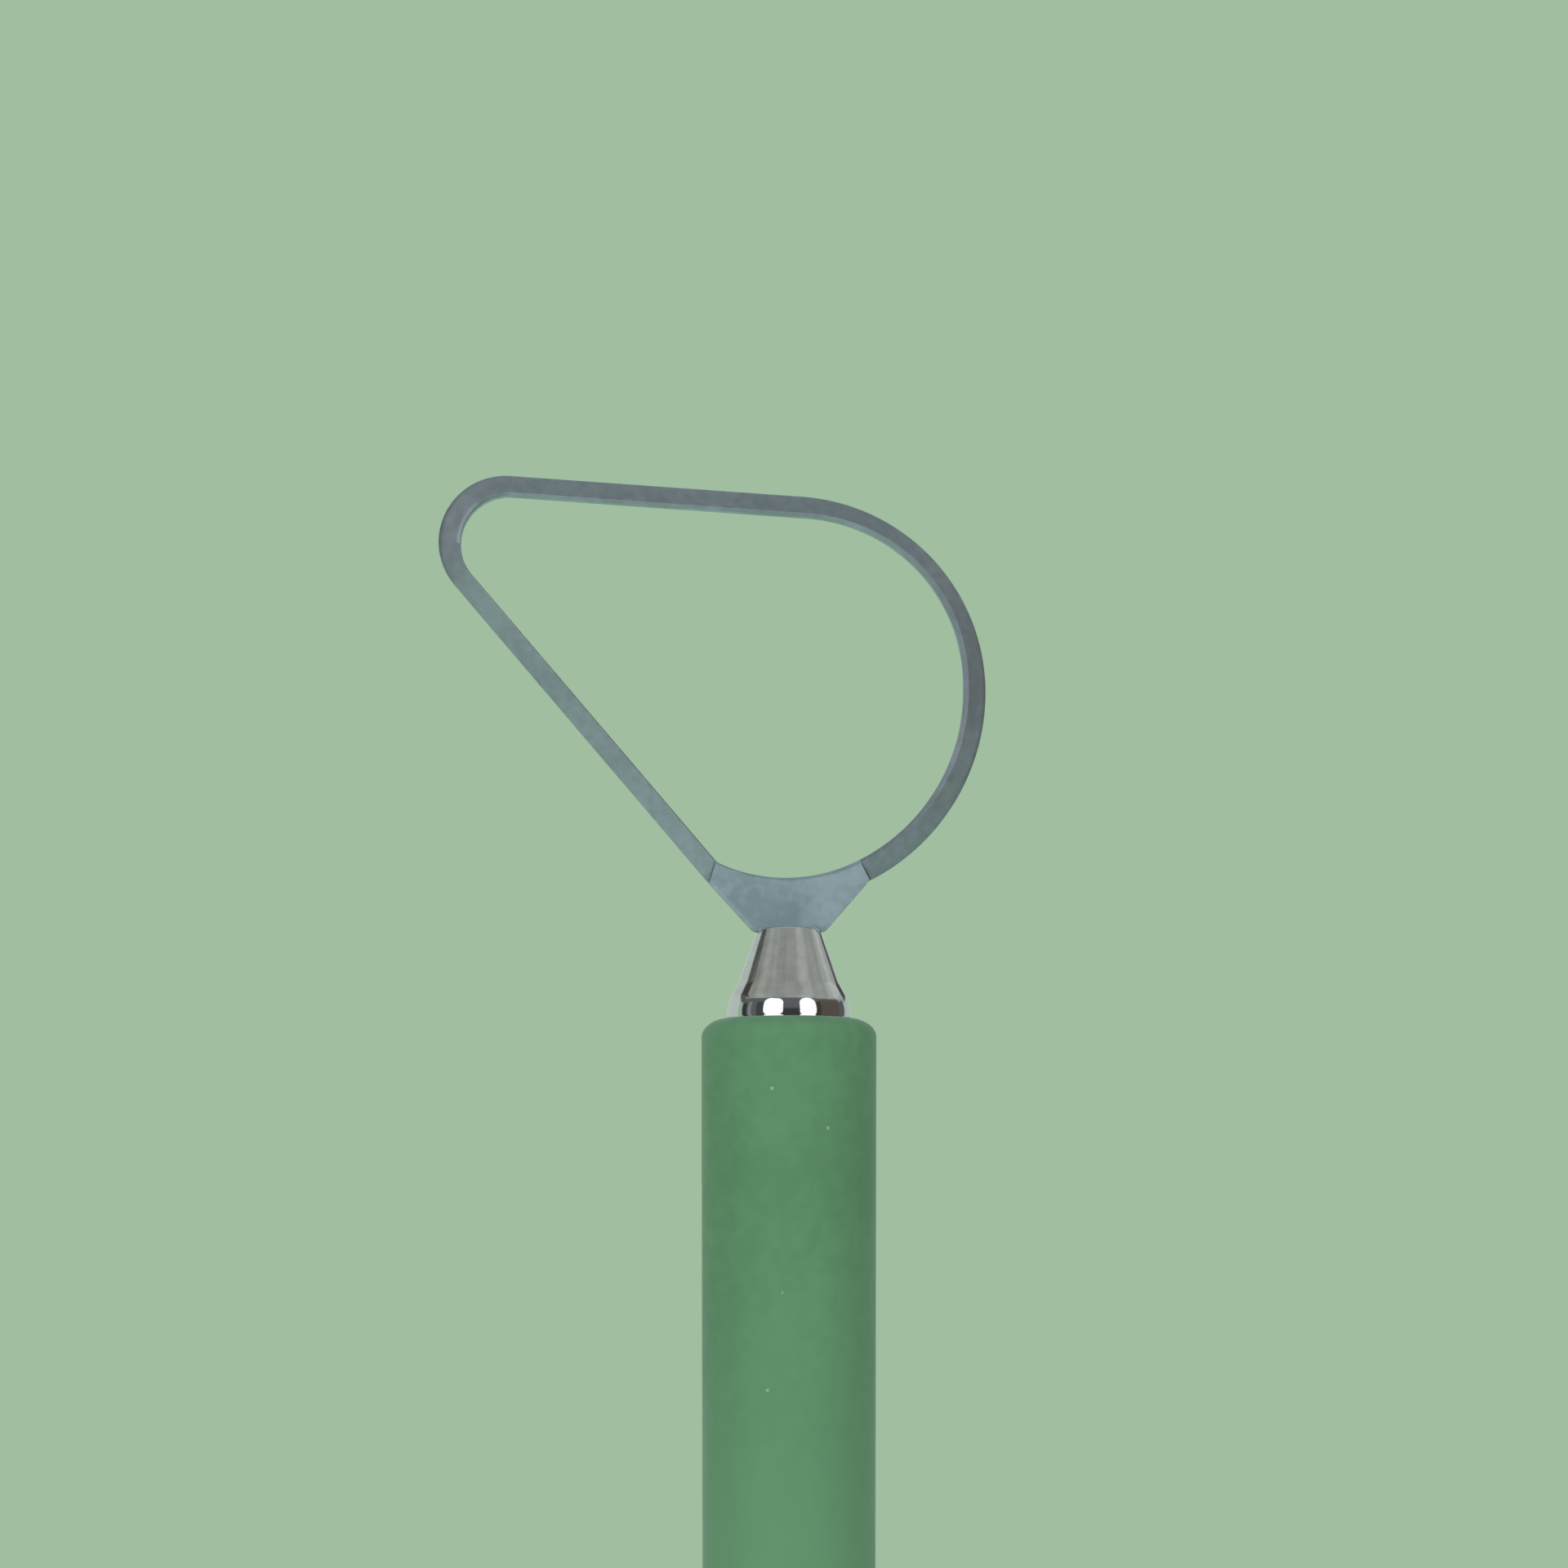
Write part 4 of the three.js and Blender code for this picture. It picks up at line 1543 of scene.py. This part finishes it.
@dataclass
class Studio:
    """Sage paper behind and below, two soft boxes beside the camera, and cards for the chrome."""

    paper: str = "#a1bea0"
    floor_paper: str = "#b5d2b4"
    ambient: float = 0.62
    focus_height: float = 132.0 * MM
    floor_radius: float = 0.42
    floor_full: float = 0.1
    floor_drop: float = 0.01 * MM
    floor_steps: int = 96

    lamps: tuple[SoftBox, ...] = (
        SoftBox("key_box", -31.0, 9.0, 0.52, 0.84, 1.66),
        SoftBox("fill_box", 39.0, 8.0, 0.42, 0.8, 1.22),
    )
    cards: tuple[Card, ...] = (
        Card("key_front", (-49.5, -10.5), (-12, 36), "#ffffff", 0.69, 1.5, 0, 13, 1.66),
        Card("fill_front", (20, 53.5), (-16, 37), "#ffffff", 0.69, 1.5, 0, 15, 1.36),
        Card("post_left", (-85, -74), (-25, 24), "#8a8b8a", 0.89, 4),
        Card("edge_left", (-66.5, -46), (-25, 26), "#45494a", 0.89, 4),
        Card("edge_right", (50, 65), (-25, 26), "#403c3b", 0.89, 4),
        Card("flag_left", (-99.5, -85), (-25, 20), "#38393b", 0.88, 3),
        Card("flag_left_high", (-101.5, -74), (15, 50), "#5e5f5d", 0.87, 5, -1.82),
        Card("flag_left_top", (-121, -86), (28, 50), "#454644", 0.865, 4, -1.82),
        Card("flag_right", (106, 130), (-25, 21), "#5d5f63", 0.89, 5),
        Card("flag_right_high", (130, 160), (13, 31), "#4a4d4a", 0.88, 4, 0.8),
        Card("strip_right", (105, 154), (22.5, 39), "#c2c6c5", 0.885, 5),
        Card("wall_foot", (-45, 50), (-25, 12), "#3b3d3c", 0.895, 9),
        Card("wall_left", (-99.5, -48), (-25, 40), "#5e6565", 0.9, 3, arched=True),
        Card("wall_middle", (-51, 60), (-25, 40), "#63656a", 0.9, 3, arched=True),
        Card("wall_right", (57, 114), (-25, 30), "#5c534c", 0.9, 3, arched=True),
        Card("wall_right_high", (57, 114), (20, 38), "#5c5d5b", 0.91, 3, arched=True),
        Card("scrim_far_left", (-90, -62), (22, 66), "#93968f", 0.95, 8, -1.2),
        Card("scrim_left", (-62, -31), (22, 78), "#a8aba8", 0.94, 9, -1.2),
        Card("scrim_gap", (-36, 0), (22, 66), "#949794", 0.95, 9, -0.2),
        Card("scrim_right", (-2, 44), (22, 84), "#adb0ae", 0.94, 12, 1),
        Card("scrim_dark_right", (43, 69), (22, 66), "#a2a5a1", 0.95, 8, 1.26),
        Card("scrim_far_right", (77, 105), (22, 66), "#aeb1ad", 0.94, 8, 1.2),
        Card("scrim", (-180, 180), (20, 90), "#9da09d", 0.97, 6),
        Card("sky_behind", (120, 240), (45, 88), "#bccace", 0.93, 6),
        Card("bounce_left", (-110, 8), (-70, -25), "#f0fffa", 0.12, 8, strength=1.1),
        Card("bounce_right", (-8, 110), (-70, -25), "#b4c0be", 0.125, 8),
        Card("back_left", (-176, -109), (-20, 37), "#bfcac5"),
        Card("back_right", (125, 184), (-20, 14), "#b6c5bd"),
        Card("back_right_high", (108, 165), (10, 40), "#a9adab", 0.96, 5),
    )

    def put_paper(self) -> None:
        """Gives the world its sage paper, seen by the eye and by metal, and its neutral light."""
        world = bpy.data.worlds.new("studio")
        bpy.context.scene.world = world
        world.use_nodes = True
        tree = world.node_tree
        tree.nodes.clear()
        rays = add(tree, "ShaderNodeLightPath").outputs
        seen = math_of(tree, "ADD", rays["Is Camera Ray"], rays["Is Glossy Ray"], clamp=True)
        shown = math_of(tree, "ADD", seen, rays["Is Transmission Ray"], clamp=True)
        grey = (self.ambient, self.ambient, self.ambient, 1.0)
        light = {"Color": blend(tree, shown, grey, linear(self.paper)), "Strength": 1.0}
        background = add(tree, "ShaderNodeBackground", light)
        add(tree, "ShaderNodeOutputWorld", {"Surface": background.outputs["Background"]})

    def put_floor(self) -> None:
        """Lays the floor, which keeps the tool's shadow and fades into the paper behind."""
        steps = self.floor_steps
        rim = arc(Vector((0.0, 0.0)), self.floor_radius, 0.0, 2 * HALF_TURN, steps)[:-1]
        points = [(p.x, p.y, -self.floor_drop) for p in (Vector((0.0, 0.0)), *rim)]
        mesh = bpy.data.meshes.new("floor")
        mesh.from_pydata(points, [], [(0, 1 + k, 1 + (k + 1) % steps) for k in range(steps)])
        floor = new_object("floor", mesh)
        material, tree = new_material("sage_paper")
        reach = length_of(tree, add(tree, "ShaderNodeTexCoord").outputs["Object"])
        span = (self.floor_full, self.floor_radius)
        cover = ramp(tree, reach, span, (1.0, 0.0), Run.SOFTER)
        paper = add(tree, "ShaderNodeBsdfDiffuse", {"Color": linear(self.floor_paper)})
        fade_out(tree, cover, paper.outputs["BSDF"])
        mesh.materials.append(material)

    def build(self) -> None:
        """Puts up the paper, the floor, the lamps and the cards."""
        self.put_paper()
        self.put_floor()
        focus = Vector((0.0, 0.0, self.focus_height))
        for thing in (*self.lamps, *self.cards):
            thing.put(focus)
            log.info("%s is up", thing.name)


@dataclass
class Camera:
    """The photograph's camera: a long lens a little below the loop, looking slightly up."""

    lens: float = 135.0
    sensor: float = 36.0
    near: float = 0.01
    far: float = 20.0
    distance: float = 408.42 * MM
    elevation: float = -5.5
    target: tuple[float, float, float] = (-0.339 * MM, 0.0, 146.314 * MM)

    def build(self) -> None:
        """Makes the camera and gives it to the scene."""
        data = bpy.data.cameras.new("camera")
        data.lens = self.lens
        data.sensor_width = self.sensor
        data.clip_start = self.near
        data.clip_end = self.far
        away = direction(0.0, self.elevation)
        bpy.context.scene.camera = aimed(data, Vector(self.target), away, self.distance)


def main() -> None:
    """Builds the tool's sub-assemblies in order, then the studio and the camera."""
    logging.basicConfig(level=logging.INFO, format="%(name)s: %(message)s")
    for part in (Blade(), Nose(), Grip(), ButtCap()):
        part.dress(part.build())
    HiddenParts().dress()
    bpy.context.scene.view_settings.view_transform = "Standard"
    Studio().build()
    Camera().build()


if __name__ == "__main__":
    main()
